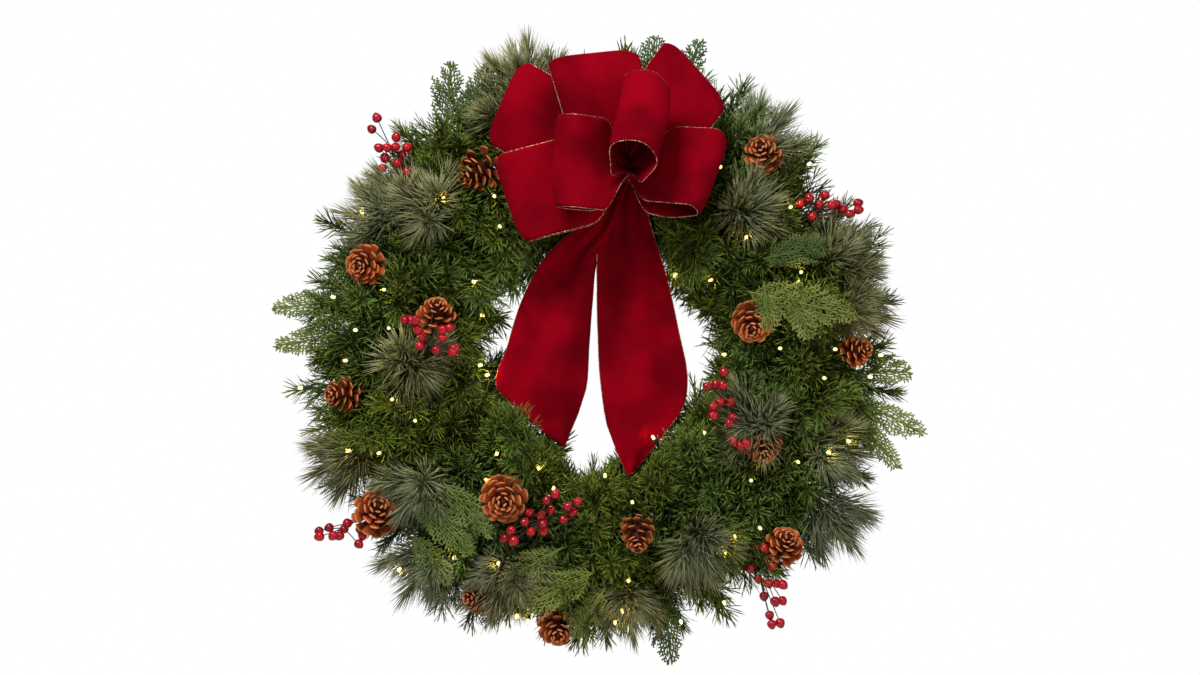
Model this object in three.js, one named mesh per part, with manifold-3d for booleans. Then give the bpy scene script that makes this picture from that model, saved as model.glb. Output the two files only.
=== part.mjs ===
// An evergreen wreath with a velvet bow, pine cones, berry sprays and a string of small lamps.
// Millimetres. The wreath hangs upright: its front looks to -Y and +Z is up. The origin is the
// underside of the frame's outer ring at the top, where a hook carries it.
// Inside the group all places are measured from the middle of the wreath.
import * as THREE from "three";
import { mergeVertices } from "three/addons/utils/BufferGeometryUtils.js";
import Module from "manifold-3d";

const wasm = await Module();
wasm.setup();

const TURN = 2 * Math.PI;
const DEGREE = Math.PI / 180;

// Frame: two wire rings and the cross bars between them.
const OUTER_RING = 250;
const INNER_RING = 200;
const WIRE_FLAT = 2;
const WIRE_CORNER = WIRE_FLAT / Math.cos(30 * DEGREE);
const BAR_FLAT = 1.7;
const BAR_CORNER = BAR_FLAT / Math.cos(45 * DEGREE);
const RING_STEPS = 30;
const CENTRE_Z = -(OUTER_RING - WIRE_CORNER);

// Bundle: the bound stems that lie on the cross bars, one arc for each sector of greens.
const GAP = 0.3;
const SECTORS = 10;
const SECTOR = TURN / SECTORS;
const BUNDLE_RING = 225;
const BUNDLE_FLAT = 10;
const BUNDLE_CORNER = BUNDLE_FLAT / Math.cos(30 * DEGREE);
const BUNDLE_Y = -(BAR_FLAT + GAP + BUNDLE_FLAT);
const BUNDLE_STEPS = 60;
const SECTOR_GAP = 0.8;
const ROOT_DEPTH = 6;
const FRAME_ROOM = 5;

// Greens.
const FIR_NEEDLE = 17;
const FIR_STEM = 2;
const FIR_LEAN = 52 * DEGREE;
const FIR_WHORLS = [52, 35, 18];
const FIR_ROWS = [
  { poloidal: -5, count: 2, reach: 126 },
  { poloidal: 24, count: 1, reach: 122 },
  { poloidal: 48, count: 1, reach: 104 },
  { poloidal: 78, count: 1, reach: 88 },
  { poloidal: 108, count: 1, reach: 85 },
  { poloidal: 140, count: 1, reach: 90 },
  { poloidal: 171, count: 1, reach: 95 },
];
const FIR_TRIES = 24;
const FIR_ROOM = 0.8;
const PINE_STEM = 2.1;
const PINE_WHORLS = [46, 35, 24, 12];
const PINE_LEANS = [64, 52, 42, 30];
const WHORL_BAND = 2.6;
const NEEDLE_RADIUS = 1.1;
const NEEDLE_ROOM = 0.5;

// Light string.
const RUN_RADIUS = 0.9;
const RUN_STEPS = 30;
const OUTER_RUN = 240;
const INNER_RUN = 210;
const RUN_Y = -3.6;
const LAMP_RADIUS = 2.4;
const LAMP_LENGTH = 9;
const LEAD_RADIUS = 0.8;
const FACE_HEIGHT = 84;
const FACE_HALF = 150;

// Bow: velvet ribbon with a wired edge.
const RIBBON_WIDTH = 102;
const RIBBON_THICK = 1.2;
const KNOT = new THREE.Vector3(33, -121, 204);
const KNOT_RADIUS = 13;
const KNOT_LONG = 36;
const NECK_RADIUS = 6;
const BOW_BACK = -72;
const LOOP_STEPS = 10;
const TIE_BACK = 48;
const COLLAR_RING = 8.2;
const TIE_WIRE = 1.6;

// Clear space kept for the opening of the wreath and for the gap between the two tails.
const HOLE_HALF = 78;
const HOLE_LOW = -86;
const HOLE_HIGH = 70;
const SLIT = { left: -26, right: 10, low: -124, high: -72 };
const WALL_LIMIT = 1.2;

const COLOURS = {
  wire: { color: 0x26402a, roughness: 0.5, metalness: 0.6 },
  fir: { color: 0x2f4d27, roughness: 0.75, metalness: 0 },
  pine: { color: 0x66704c, roughness: 0.8, metalness: 0 },
  cedar: { color: 0x6d7d38, roughness: 0.75, metalness: 0 },
  cone: { color: 0x7c4724, roughness: 0.7, metalness: 0 },
  berry: { color: 0xb0101c, roughness: 0.2, metalness: 0 },
  lamp: { color: 0xffdf9a, roughness: 0.3, metalness: 0 },
  velvet: { color: 0x8a0c1b, roughness: 0.9, metalness: 0 },
  tie: { color: 0x3b3a2c, roughness: 0.5, metalness: 0.7 },
};

// Pine cones: middle, axis, greatest width and length.
const CONE_SIDES = 6;
const CONE_CORE = 0.36;
const CONE_SCALE = 0.19;
const CONE_ROWS = [0.52, 0.86, 1, 0.96, 0.78, 0.5];
const CONE_LEANS = [94, 84, 74, 62, 48, 30];
const CONE_STEM = 1.6;
const CONES = [
  { middle: [-141, -66, 204], axis: [-0.55, -0.6, -0.3], width: 54, length: 52 },
  { middle: [189, -80, 228], axis: [-0.2, -1, 0.3], width: 48, length: 46 },
  { middle: [-267, -84, 97], axis: [-0.3, -1, -0.1], width: 48, length: 44 },
  { middle: [-183, -88, 42], axis: [0.1, -0.7, 0.7], width: 48, length: 48 },
  { middle: [-297, -58, -51], axis: [-0.7, -0.7, 0], width: 42, length: 42 },
  { middle: [-252, -72, -184], axis: [0.2, -1, 0.4], width: 56, length: 48 },
  { middle: [-106, -104, -170], axis: [0, -1, -0.1], width: 56, length: 46 },
  { middle: [46, -104, -213], axis: [0, -0.75, -0.65], width: 40, length: 52 },
  { middle: [216, -74, -221], axis: [0.2, -1, 0.5], width: 46, length: 46 },
  { middle: [-45, -52, -322], axis: [0, -0.9, -0.4], width: 50, length: 44 },
  { middle: [-138, -62, -284], axis: [-0.6, -0.7, 0], width: 44, length: 44 },
  { middle: [177, -92, 29], axis: [-0.1, -1, -0.4], width: 50, length: 44 },
  { middle: [302, -66, 0], axis: [0.6, -0.8, 0.1], width: 38, length: 40 },
  { middle: [191, -78, -113], axis: [0, -0.9, -0.5], width: 44, length: 44 },
];

// Pine sprays: where each stem ends; a node with two tips is one forked stem.
const PINES = [
  { tips: [[-79, -40, 341], [-119, -38, 303]], needle: 46 },
  { tips: [[206, -58, 262]], needle: 44 },
  { tips: [[-194, -92, 168]], needle: 50 },
  { tips: [[168, -92, 160]], needle: 50 },
  { tips: [[290, -58, 126], [312, -52, 42]], needle: 46 },
  { tips: [[-212, -104, -14]], needle: 52 },
  { tips: [[-306, -42, -130]], needle: 52 },
  { tips: [[-196, -92, -146]], needle: 50 },
  { tips: [[-210, -56, -262]], needle: 48 },
  { tips: [[110, -98, -206]], needle: 52 },
  { tips: [[176, -104, -80]], needle: 48 },
  { tips: [[278, -66, -104], [280, -52, -206]], needle: 46 },
  { tips: [[36, -76, -292]], needle: 42 },
  { tips: [[-112, -86, -268], [-84, -72, -236]], needle: 44 },
  { tips: [[-274, -48, 156], [-236, -62, 196]], needle: 44 },
];

// Cedar fronds: each blade runs from its foot to its tip.
const CEDARS = [
  {
    blades: [
      { from: [-175, -46, 246], to: [-169, -32, 336], width: 56 },
      { from: [-150, -50, 250], to: [-124, -34, 334], width: 50 },
    ],
  },
  {
    blades: [
      { from: [-296, -34, 58], to: [-379, -28, 47], width: 44 },
      { from: [-296, -30, 18], to: [-376, -24, 4], width: 44 },
    ],
  },
  { blades: [{ from: [172, -108, 66], to: [300, -86, 38], width: 66 }] },
  { blades: [{ from: [190, -98, 104], to: [266, -76, 122], width: 54 }] },
  {
    blades: [
      { from: [306, -34, -62], to: [382, -28, -98], width: 44 },
      { from: [296, -40, -78], to: [352, -32, -138], width: 42 },
      { from: [300, -36, -24], to: [366, -30, -26], width: 46 },
    ],
  },
  { blades: [{ from: [-206, -94, -168], to: [-140, -86, -232], width: 54 }] },
  { blades: [{ from: [-4, -88, -254], to: [-92, -72, -298], width: 62 }] },
  { blades: [{ from: [78, -44, -296], to: [86, -36, -363], width: 44 }] },
  {
    blades: [
      { from: [62, -36, 304], to: [67, -30, 364], width: 46 },
      { from: [96, -40, 300], to: [120, -32, 360], width: 44 },
    ],
  },
];
const FROND_THICK = 1;
const FROND_RIB = 1.1;
const FROND_ARCH = 0.32;
const FROND_DROOP = 0.12;
const FROND_LEAFLETS = 6;

// Berry sprays: the main stem's end and the berries.
const BERRY_RADIUS = 5;
const BERRY_STALK = 0.9;
const BERRIES = [
  {
    end: [-240, -62, 236],
    fruit: [[-252, -62, 266], [-259, -58, 252], [-230, -70, 242], [-242, -72, 224],
      [-224, -74, 216], [-247, -62, 208]],
  },
  {
    end: [-192, -114, 8],
    fruit: [[-216, -112, 33], [-205, -122, 20], [-200, -116, 2],
      [-176, -122, 20], [-179, -121, 0], [-160, -114, 8]],
  },
  {
    end: [262, -66, 164],
    fruit: [[236, -70, 166], [252, -74, 156], [264, -72, 172],
      [278, -64, 158], [290, -62, 168], [301, -60, 156]],
  },
  {
    end: [146, -94, -62],
    fruit: [[144, -96, -26], [130, -98, -42], [146, -102, -44],
      [132, -100, -68], [152, -100, -80], [160, -98, -102]],
  },
  {
    end: [-62, -100, -192],
    fruit: [[-52, -104, -170], [-60, -108, -206], [-78, -108, -188],
      [-88, -102, -208], [-98, -98, -220], [-28, -98, -176]],
  },
  {
    end: [-296, -50, -208],
    fruit: [[-323, -48, -208], [-310, -50, -218], [-308, -44, -202],
      [-294, -56, -220], [-288, -46, -200], [-276, -54, -212]],
  },
  {
    end: [196, -62, -262],
    fruit: [[186, -68, -230], [180, -66, -252], [192, -72, -266],
      [207, -66, -270], [196, -60, -288], [200, -54, -308]],
  },
];

// Lamps of the string, by their place on the face of the wreath.
const LAMPS = [
  [-175, 174], [-116, 174], [-271, 159], [-243, 69], [-139, 77], [-277, 23], [-237, 25],
  [-131, -17], [-344, -44], [-206, -80], [-286, -116], [-113, -117], [-126, -147],
  [-66, -133], [-164, -238], [-229, -254], [-81, -313], [36, -264], [21, -300], [97, -314],
  [147, -292], [188, -204], [175, -148], [9, -141], [63, -98], [121, -93], [266, -118],
  [316, -31], [273, 1], [207, 2], [143, -5], [234, 88], [169, 128], [222, 165], [245, 215],
  [83, 84], [141, 209], [-110, 140], [-304, 61], [290, -105], [-12, -184], [147, -231],
];

// Ribbon loops in three layers: direction from the knot, direction of the ribbon's width, reach,
// fullness, and the depth at which the loop leaves the knot.
const LOOPS = [
  { reach: [-0.87, 0, 0.5], width: [0.42, 0, 0.9], length: 158, full: 24, start: -94 },
  { reach: [0.58, 0, 0.81], width: [0.74, 0, -0.67], length: 140, full: 24, start: -94 },
  { reach: [-0.3, 0, 0.95], width: [1, 0, 0.08], length: 132, full: 24, start: -131 },
  { reach: [1, 0, -0.02], width: [0.16, 0, 0.98], length: 110, full: 26, start: -131 },
  { reach: [-0.97, 0, -0.16], width: [-0.24, 0, 0.97], length: 136, full: 24, start: -131 },
  { reach: [-0.9, -0.42, 0.02], width: [-0.03, 0, 1], length: 88, full: 28, start: -147 },
  { reach: [0.5, -0.7, 0.42], width: [0.32, 0.12, 0.94], length: 74, full: 32, start: -147 },
];

// Tails: pairs of edge points [left x, z, right x, z] from the knot down; the last is the tip.
const TAILS = [
  [[18, 197.2, 42, 197.2], [-16, 148, 18, 132], [-58, 108, 0, 101], [-83, 64, -5, 58],
    [-102, 7, -9, 6], [-113, -48, -13, -46], [-78, -82, -22, -74], [-39, -112, -38, -112]],
  [[24, 197.2, 48, 197.2], [2, 128, 62, 142], [0, 70, 80, 84], [1, 18, 94, 22],
    [4, -36, 104, -34], [12, -88, 96, -72], [24, -120, 66, -112], [36, -146, 38, -146]],
];
const TAIL_TOP_Y = -80;
const TAIL_FOOT_Y = -52;
const TAIL_HIGH = 186;
const TAIL_LOW = -146;
const TAIL_CROWN = 7;

// Outline of the bow on the face of the wreath, and the same for the tails.
const BOW_OUTLINE = [[-138, 244], [-96, 340], [48, 356], [86, 362], [154, 284], [152, 204],
  [118, 142], [58, 160], [-36, 122], [-90, 108], [-124, 216]];
const TAIL_OUTLINES = TAILS.map((pairs) => [
  ...pairs.map(([x, z]) => [x - 6, z]),
  ...pairs.map(([, , x, z]) => [x + 6, z]).reverse(),
]);

const vector = (values) => new THREE.Vector3(...values);

// Random numbers that are the same each time for the same seed.
function seeded(seed) {
  let state = (seed * 7919 + 17) >>> 0;
  const draw = () => {
    state = (Math.imul(1664525, state) + 1013904223) >>> 0;
    return state / 4294967296;
  };
  for (let i = 0; i < 3; i++) draw();
  return draw;
}

// --- Solids ---

// A closed geometry as a solid; one whose faces point inwards is turned round.
function solid(geometry) {
  const bare = new THREE.BufferGeometry();
  const source = geometry.index ? geometry.toNonIndexed() : geometry;
  bare.setAttribute("position", source.getAttribute("position").clone());
  const merged = mergeVertices(bare, 1e-3);
  const make = (triVerts) => new wasm.Manifold(new wasm.Mesh({
    numProp: 3,
    vertProperties: new Float32Array(merged.attributes.position.array),
    triVerts,
  }));
  const faces = new Uint32Array(merged.index.array);
  const made = make(faces);
  return made.volume() < 0 ? make(faces.reverse()) : made;
}

// The largest body of a solid; scraps that a cut leaves loose are dropped.
function largest(body) {
  const bodies = body.decompose();
  return bodies.reduce((best, next) => (next.volume() > best.volume() ? next : best));
}

const join = (bodies) => wasm.Manifold.union(bodies);

function mesh(name, body, finish) {
  const made = body.getMesh();
  const geometry = new THREE.BufferGeometry();
  const places = new Float32Array(made.numVert * 3);
  for (let i = 0; i < made.numVert; i++) {
    const start = i * made.numProp;
    places.set(made.vertProperties.subarray(start, start + 3), i * 3);
  }
  geometry.setAttribute("position", new THREE.BufferAttribute(places, 3));
  geometry.setIndex(new THREE.BufferAttribute(made.triVerts, 1));
  geometry.computeVertexNormals();
  const result = new THREE.Mesh(geometry, new THREE.MeshStandardMaterial(finish));
  result.name = name;
  return result;
}

// --- The wreath's own directions ---

const radial = (angle) => new THREE.Vector3(Math.cos(angle), 0, Math.sin(angle));
const tangent = (angle) => new THREE.Vector3(-Math.sin(angle), 0, Math.cos(angle));

// A point at a distance from the middle of the bundle: poloidal 0 is outward, a quarter turn is
// to the front, a half turn is inward.
function fromBundle(angle, poloidal, distance) {
  const out = BUNDLE_RING + distance * Math.cos(poloidal);
  return radial(angle).multiplyScalar(out).setY(BUNDLE_Y - distance * Math.sin(poloidal));
}

// The toroidal and poloidal angles and the distance of a point from the bundle.
function aboutBundle(point) {
  const out = Math.hypot(point.x, point.z) - BUNDLE_RING;
  const front = BUNDLE_Y - point.y;
  return {
    angle: Math.atan2(point.z, point.x),
    poloidal: Math.atan2(front, out),
    distance: Math.hypot(out, front),
  };
}

// --- Shoots: closed tapering stems that can carry a spike on each facet of a band ---

// The ring of corners at each station of a shoot.
function ringsOf(shoot) {
  return shoot.stations.map(({ at, radius, turn }) => {
    const centre = shoot.curve.getPoint(at);
    const along = shoot.curve.getTangent(at);
    const first = shoot.reference.clone();
    first.addScaledVector(along, -first.dot(along)).normalize();
    const second = new THREE.Vector3().crossVectors(along, first);
    const corners = [];
    for (let side = 0; side < shoot.sides; side++) {
      const angle = turn + (side / shoot.sides) * TURN;
      const corner = centre.clone().addScaledVector(first, radius * Math.cos(angle));
      corners.push(corner.addScaledVector(second, radius * Math.sin(angle)));
    }
    return { centre, along, corners };
  });
}

// The foot and tip of each spike that a shoot could carry.
function spikesOf(shoot) {
  const rings = ringsOf(shoot);
  const spikes = [];
  shoot.stations.forEach(({ spike }, band) => {
    if (!spike) return;
    const [low, high] = [rings[band], rings[band + 1]];
    for (let side = 0; side < shoot.sides; side++) {
      const next = (side + 1) % shoot.sides;
      const foot = new THREE.Vector3();
      [low.corners[side], low.corners[next], high.corners[side], high.corners[next]]
        .forEach((corner) => foot.addScaledVector(corner, 0.25));
      const outward = foot.clone().sub(low.centre);
      outward.addScaledVector(low.along, -outward.dot(low.along)).normalize();
      const tip = foot.clone().addScaledVector(low.along, spike.length * Math.cos(spike.lean));
      tip.addScaledVector(outward, spike.length * Math.sin(spike.lean));
      spikes.push({ band, side, foot, tip });
    }
  });
  return spikes;
}

// The closed geometry of a shoot with the spikes that it keeps.
function shootGeometry(shoot) {
  const rings = ringsOf(shoot);
  const places = [];
  const triangle = (...corners) => corners.forEach((c) => places.push(c.x, c.y, c.z));
  const { sides } = shoot;
  for (let side = 1; side < sides - 1; side++) {
    const root = rings[0].corners;
    triangle(root[0], root[side + 1], root[side]);
  }
  for (let band = 0; band < rings.length - 1; band++) {
    const [low, high] = [rings[band].corners, rings[band + 1].corners];
    const ends = shoot.stations[band + 1].radius === 0;
    for (let side = 0; side < sides; side++) {
      const next = (side + 1) % sides;
      const kept = shoot.kept.find((s) => s.band === band && s.side === side);
      if (ends) {
        triangle(low[side], low[next], rings[band + 1].centre);
      } else if (kept) {
        triangle(low[side], low[next], kept.tip);
        triangle(low[next], high[next], kept.tip);
        triangle(high[next], high[side], kept.tip);
        triangle(high[side], low[side], kept.tip);
      } else {
        triangle(low[side], low[next], high[next]);
        triangle(low[side], high[next], high[side]);
      }
    }
  }
  const geometry = new THREE.BufferGeometry();
  geometry.setAttribute("position", new THREE.Float32BufferAttribute(places, 3));
  return geometry;
}

// --- Clearances ---

const capsules = [];
const lumps = [];

// The shortest distance between two straight stretches.
function stretchGap(a, b, c, d) {
  const u = b.clone().sub(a);
  const v = d.clone().sub(c);
  const w = a.clone().sub(c);
  const uu = u.dot(u);
  const uv = u.dot(v);
  const vv = v.dot(v);
  const uw = u.dot(w);
  const vw = v.dot(w);
  const spread = uu * vv - uv * uv;
  let s = spread > 1e-9 ? THREE.MathUtils.clamp((uv * vw - vv * uw) / spread, 0, 1) : 0;
  const t = THREE.MathUtils.clamp((uv * s + vw) / vv, 0, 1);
  s = THREE.MathUtils.clamp((uv * t - uw) / uu, 0, 1);
  return w.addScaledVector(u, s).addScaledVector(v, -t).length();
}

function layCapsule(owner, start, end, radius, shoot = null) {
  const middle = start.clone().add(end).multiplyScalar(0.5);
  capsules.push({ owner, shoot, start, end, radius, middle, half: start.distanceTo(end) / 2 });
}

function layPath(owner, points, radius, shoot = null) {
  points.slice(1).forEach((point, i) => layCapsule(owner, points[i], point, radius, shoot));
}

function insideOutline(outline, x, z) {
  let inside = false;
  outline.forEach(([x1, z1], i) => {
    const [x2, z2] = outline[(i + 1) % outline.length];
    if (z1 > z !== z2 > z && x < x1 + ((z - z1) / (z2 - z1)) * (x2 - x1)) inside = !inside;
  });
  return inside;
}

// The depth of the tails at a height.
function tailDepth(z) {
  const share = THREE.MathUtils.clamp((TAIL_HIGH - z) / (TAIL_HIGH - TAIL_LOW), 0, 1);
  return TAIL_TOP_Y + (TAIL_FOOT_Y - TAIL_TOP_Y) * Math.sin((share * Math.PI) / 2);
}

// Whether a point is clear of the wall, frame, opening, ribbon and the solid lumps.
function pointClear(point, owner, margin) {
  const { x, y, z } = point;
  const out = Math.hypot(x, z);
  if (y > WALL_LIMIT - margin) return false;
  const room = FRAME_ROOM + margin;
  const overFrame = out > INNER_RING - room && out < OUTER_RING + room;
  if (overFrame && y > RUN_Y - RUN_RADIUS - margin) return false;
  if (Math.abs(x) < HOLE_HALF && z > HOLE_LOW && z < HOLE_HIGH) return false;
  if (x > SLIT.left && x < SLIT.right && z > SLIT.low && z < SLIT.high) return false;
  if (y < BOW_BACK + margin && insideOutline(BOW_OUTLINE, x, z)) return false;
  const atTail = Math.abs(y - tailDepth(z)) < 3 + margin;
  if (atTail && TAIL_OUTLINES.some((outline) => insideOutline(outline, x, z))) return false;
  return lumps.every((lump) => {
    if (lump.owner === owner) return true;
    const offset = point.clone().sub(lump.middle);
    const along = offset.dot(lump.axis);
    const across = offset.addScaledVector(lump.axis, -along).length();
    return Math.hypot(along / (lump.along + margin), across / (lump.across + margin)) > 1;
  });
}

// Whether a straight stretch is clear of what others have laid: of other nodes, or for a needle
// of all other shoots.
function stretchClear(start, end, owner, radius, margin, shoot = null) {
  const length = start.distanceTo(end);
  const pieces = Math.ceil(length / 4);
  for (let i = 0; i <= pieces; i++) {
    const point = start.clone().lerp(end, i / pieces);
    if (!pointClear(point, owner, radius + margin)) return false;
  }
  const middle = start.clone().add(end).multiplyScalar(0.5);
  return capsules.every((other) => {
    if (shoot ? other.shoot === shoot : other.owner === owner) return true;
    const room = radius + other.radius + margin;
    if (middle.distanceTo(other.middle) > length / 2 + other.half + room) return true;
    return stretchGap(start, end, other.start, other.end) > room;
  });
}

function pathClear(points, owner, radius, margin) {
  return points.slice(1).every((p, i) => stretchClear(points[i], p, owner, radius, margin));
}

const stationPoints = (curve, stations) => stations.map(({ at }) => curve.getPoint(at));

// --- Laying out the stems ---

const shoots = [];

// A stem from inside the bundle to a target. Stems of one fork share the root that faces the
// middle of their targets.
function stemCurve(target, bow = 0, fork = [target]) {
  const { angle, poloidal, distance } = aboutBundle(target);
  const centre = new THREE.Vector3();
  fork.forEach((end) => centre.addScaledVector(end, 1 / fork.length));
  const shared = aboutBundle(centre);
  const root = fromBundle(shared.angle, shared.poloidal, ROOT_DEPTH);
  const knee = fromBundle((angle + shared.angle) / 2, poloidal + bow, distance * 0.55);
  return new THREE.QuadraticBezierCurve3(root, knee, target);
}

function addShoot(owner, curve, stations, sides, settings = {}) {
  const { reference = tangent(aboutBundle(curve.getPoint(1)).angle), radius = 1.6 } = settings;
  const shoot = { owner, curve, stations, sides, reference, kept: [] };
  shoots.push(shoot);
  layPath(owner, stationPoints(curve, stations), radius, shoot);
  return shoot;
}

// Stations of a needled stem: whorls at set distances from the tip, the last one ending in it.
function whorls(length, distances, thick, spikeOf) {
  const stations = [{ at: 0, radius: thick, turn: 0 }];
  distances.forEach((distance, i) => {
    const radius = thick * (1 - 0.12 * (i + 1));
    const turn = i * 37 * DEGREE;
    stations.push({ at: 1 - distance / length, radius, turn, spike: spikeOf(i) });
    stations.push({ at: 1 - (distance - WHORL_BAND) / length, radius, turn });
  });
  stations.push({ at: 1, radius: 0, turn: 0 });
  return stations;
}

function layPine(owner, { tips, needle }) {
  const ends = tips.map(vector);
  ends.forEach((tip) => {
    const curve = stemCurve(tip, 0.1, ends);
    const length = curve.getLength();
    const stations = whorls(length, PINE_WHORLS, PINE_STEM, (i) => ({
      length: needle * (0.92 + 0.02 * i),
      lean: PINE_LEANS[i] * DEGREE,
    }));
    addShoot(owner, curve, stations, 4, { radius: PINE_STEM });
  });
}

// A cone's own solid: an ovoid whose facets are drawn out into scales.
function coneShoot(owner, middle, axis, width, length) {
  const core = width * CONE_CORE;
  const half = axis.clone().multiplyScalar(length / 2);
  const curve = new THREE.LineCurve3(middle.clone().sub(half), middle.clone().add(half));
  const last = CONE_ROWS.length - 1;
  const stations = CONE_ROWS.map((share, i) => ({
    at: (i + 0.15) / CONE_ROWS.length,
    radius: core * share,
    turn: (i % 2) * (Math.PI / CONE_SIDES),
    spike: i < last
      ? { length: width * CONE_SCALE * (1.05 - 0.06 * i), lean: CONE_LEANS[i] * DEGREE }
      : null,
  }));
  stations.push({ at: 1, radius: 0, turn: 0 });
  const reference = Math.abs(axis.x) < 0.8 ? radial(0) : new THREE.Vector3(0, 0, 1);
  const shoot = { owner, curve, stations, sides: CONE_SIDES, reference, kept: [] };
  shoot.kept = spikesOf(shoot);
  shoots.push(shoot);
  lumps.push({ owner, middle, axis, along: length * 0.55, across: width * 0.53 });
}

function layCone(owner, { middle, axis, width, length }) {
  const centre = vector(middle);
  const pointing = vector(axis).normalize();
  coneShoot(owner, centre, pointing, width, length);
  const foot = centre.clone().addScaledVector(pointing, -length * 0.3);
  const curve = stemCurve(foot);
  addShoot(owner, curve, [
    { at: 0, radius: CONE_STEM, turn: 0 },
    { at: 1, radius: CONE_STEM, turn: 0 },
    { at: 1.02, radius: 0, turn: 0 },
  ], 4);
}

function layBerries(owner, { end, fruit }) {
  const tip = vector(end);
  const stem = stemCurve(tip, 0.06);
  addShoot(owner, stem, [
    { at: 0, radius: 1.6, turn: 0 },
    { at: 0.5, radius: 1.5, turn: 0 },
    { at: 0.96, radius: 1.3, turn: 0 },
    { at: 1, radius: 0, turn: 0 },
  ], 4);
  fruit.forEach((place, i) => {
    const berry = vector(place);
    const start = stem.getPoint(0.94 - 0.05 * (i % 6));
    const outward = berry.clone().sub(start).normalize();
    const far = berry.clone().addScaledVector(outward, BERRY_RADIUS * 1.15);
    const curve = new THREE.LineCurve3(start, far);
    const length = start.distanceTo(far);
    const at = (back) => 1 - (back * BERRY_RADIUS) / length;
    const shoot = addShoot(owner, curve, [
      { at: 0, radius: BERRY_STALK, turn: 0 },
      { at: at(2.05), radius: BERRY_STALK, turn: 0 },
      { at: at(1.6), radius: BERRY_RADIUS * 0.86, turn: 0 },
      { at: at(0.7), radius: BERRY_RADIUS, turn: 0 },
      { at: 1, radius: 0, turn: 0 },
    ], 4, { radius: BERRY_STALK });
    shoot.reference = Math.abs(outward.y) < 0.9 ? new THREE.Vector3(0, 1, 0) : radial(0);
    lumps.push({ owner, middle: berry, axis: outward, along: 6, across: 5.2 });
  });
}

// --- Cedar fronds ---

// A frond's outline: leaflets in pairs, cut to the rib.
function frondShape(length, width) {
  const step = length / (FROND_LEAFLETS + 0.6);
  const upper = [[0, FROND_RIB]];
  for (let i = 0; i < FROND_LEAFLETS; i++) {
    const share = (i + 0.5) / FROND_LEAFLETS;
    const reach = (width / 2) * Math.sqrt(Math.sin(Math.PI * (0.14 + 0.8 * share)));
    upper.push([step * (i + 1.05) + reach * 0.35, FROND_RIB + reach]);
    upper.push([step * (i + 1), FROND_RIB]);
  }
  const tip = [[length, 0]];
  const lower = upper.map(([x, y], i) => [x + (i % 2 ? step * 0.12 : 0), -y]).reverse();
  return new THREE.Shape([...upper, ...tip, ...lower].map(([x, y]) => new THREE.Vector2(x, y)));
}

function frondFrame({ from, to }) {
  const foot = vector(from);
  const along = vector(to).sub(foot);
  const length = along.length();
  along.normalize();
  const facing = new THREE.Vector3(0, -1, 0);
  facing.addScaledVector(along, -facing.dot(along)).normalize();
  const across = new THREE.Vector3().crossVectors(facing, along);
  return { foot, along, across, facing, length };
}

// Arches a frond: high in its middle, with its leaflets drooping a little.
function frondPlace(frame, x, y, thick) {
  const share = x / frame.length;
  const rise = frame.length * FROND_ARCH * share * (1 - share) - FROND_DROOP * Math.abs(y);
  return frame.foot.clone()
    .addScaledVector(frame.along, x)
    .addScaledVector(frame.across, y)
    .addScaledVector(frame.facing, rise + thick);
}

function frondGeometry(blade) {
  const frame = frondFrame(blade);
  const shape = frondShape(frame.length, blade.width);
  const settings = { depth: FROND_THICK, bevelEnabled: false, steps: 1 };
  const geometry = new THREE.ExtrudeGeometry(shape, settings);
  const places = geometry.attributes.position;
  for (let i = 0; i < places.count; i++) {
    const thick = places.getZ(i) - FROND_THICK / 2;
    const placed = frondPlace(frame, places.getX(i), places.getY(i), thick);
    places.setXYZ(i, placed.x, placed.y, placed.z);
  }
  return geometry;
}

function layFrond(owner, blade, fork) {
  const frame = frondFrame(blade);
  const points = frondShape(frame.length, blade.width).getPoints();
  const at = (x, y) => frondPlace(frame, x, y, 0);
  for (let i = 0; i < 4; i++) {
    const start = (i * frame.length) / 4;
    layCapsule(owner, at(start, 0), at(start + frame.length / 4, 0), 1.6);
  }
  points.filter(({ y }) => Math.abs(y) > 2).forEach(({ x, y }) => {
    layCapsule(owner, at(x - Math.abs(y) * 0.35, 0), at(x, y), 2);
  });
  const into = at(frame.length * 0.05, 0);
  const curve = stemCurve(into, 0.08, fork);
  addShoot(owner, curve, [
    { at: 0, radius: 1.7, turn: 0 },
    { at: 0.6, radius: 1.5, turn: 0 },
    { at: 1, radius: 0, turn: 0 },
  ], 4);
}

// --- Light string ---

// How far forward the face of the greens stands at a distance from the wreath's middle.
function faceDepth(out) {
  const share = THREE.MathUtils.clamp((out - BUNDLE_RING) / FACE_HALF, -1, 1);
  return BUNDLE_Y - FACE_HEIGHT * Math.sqrt(1 - share * share);
}

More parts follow.
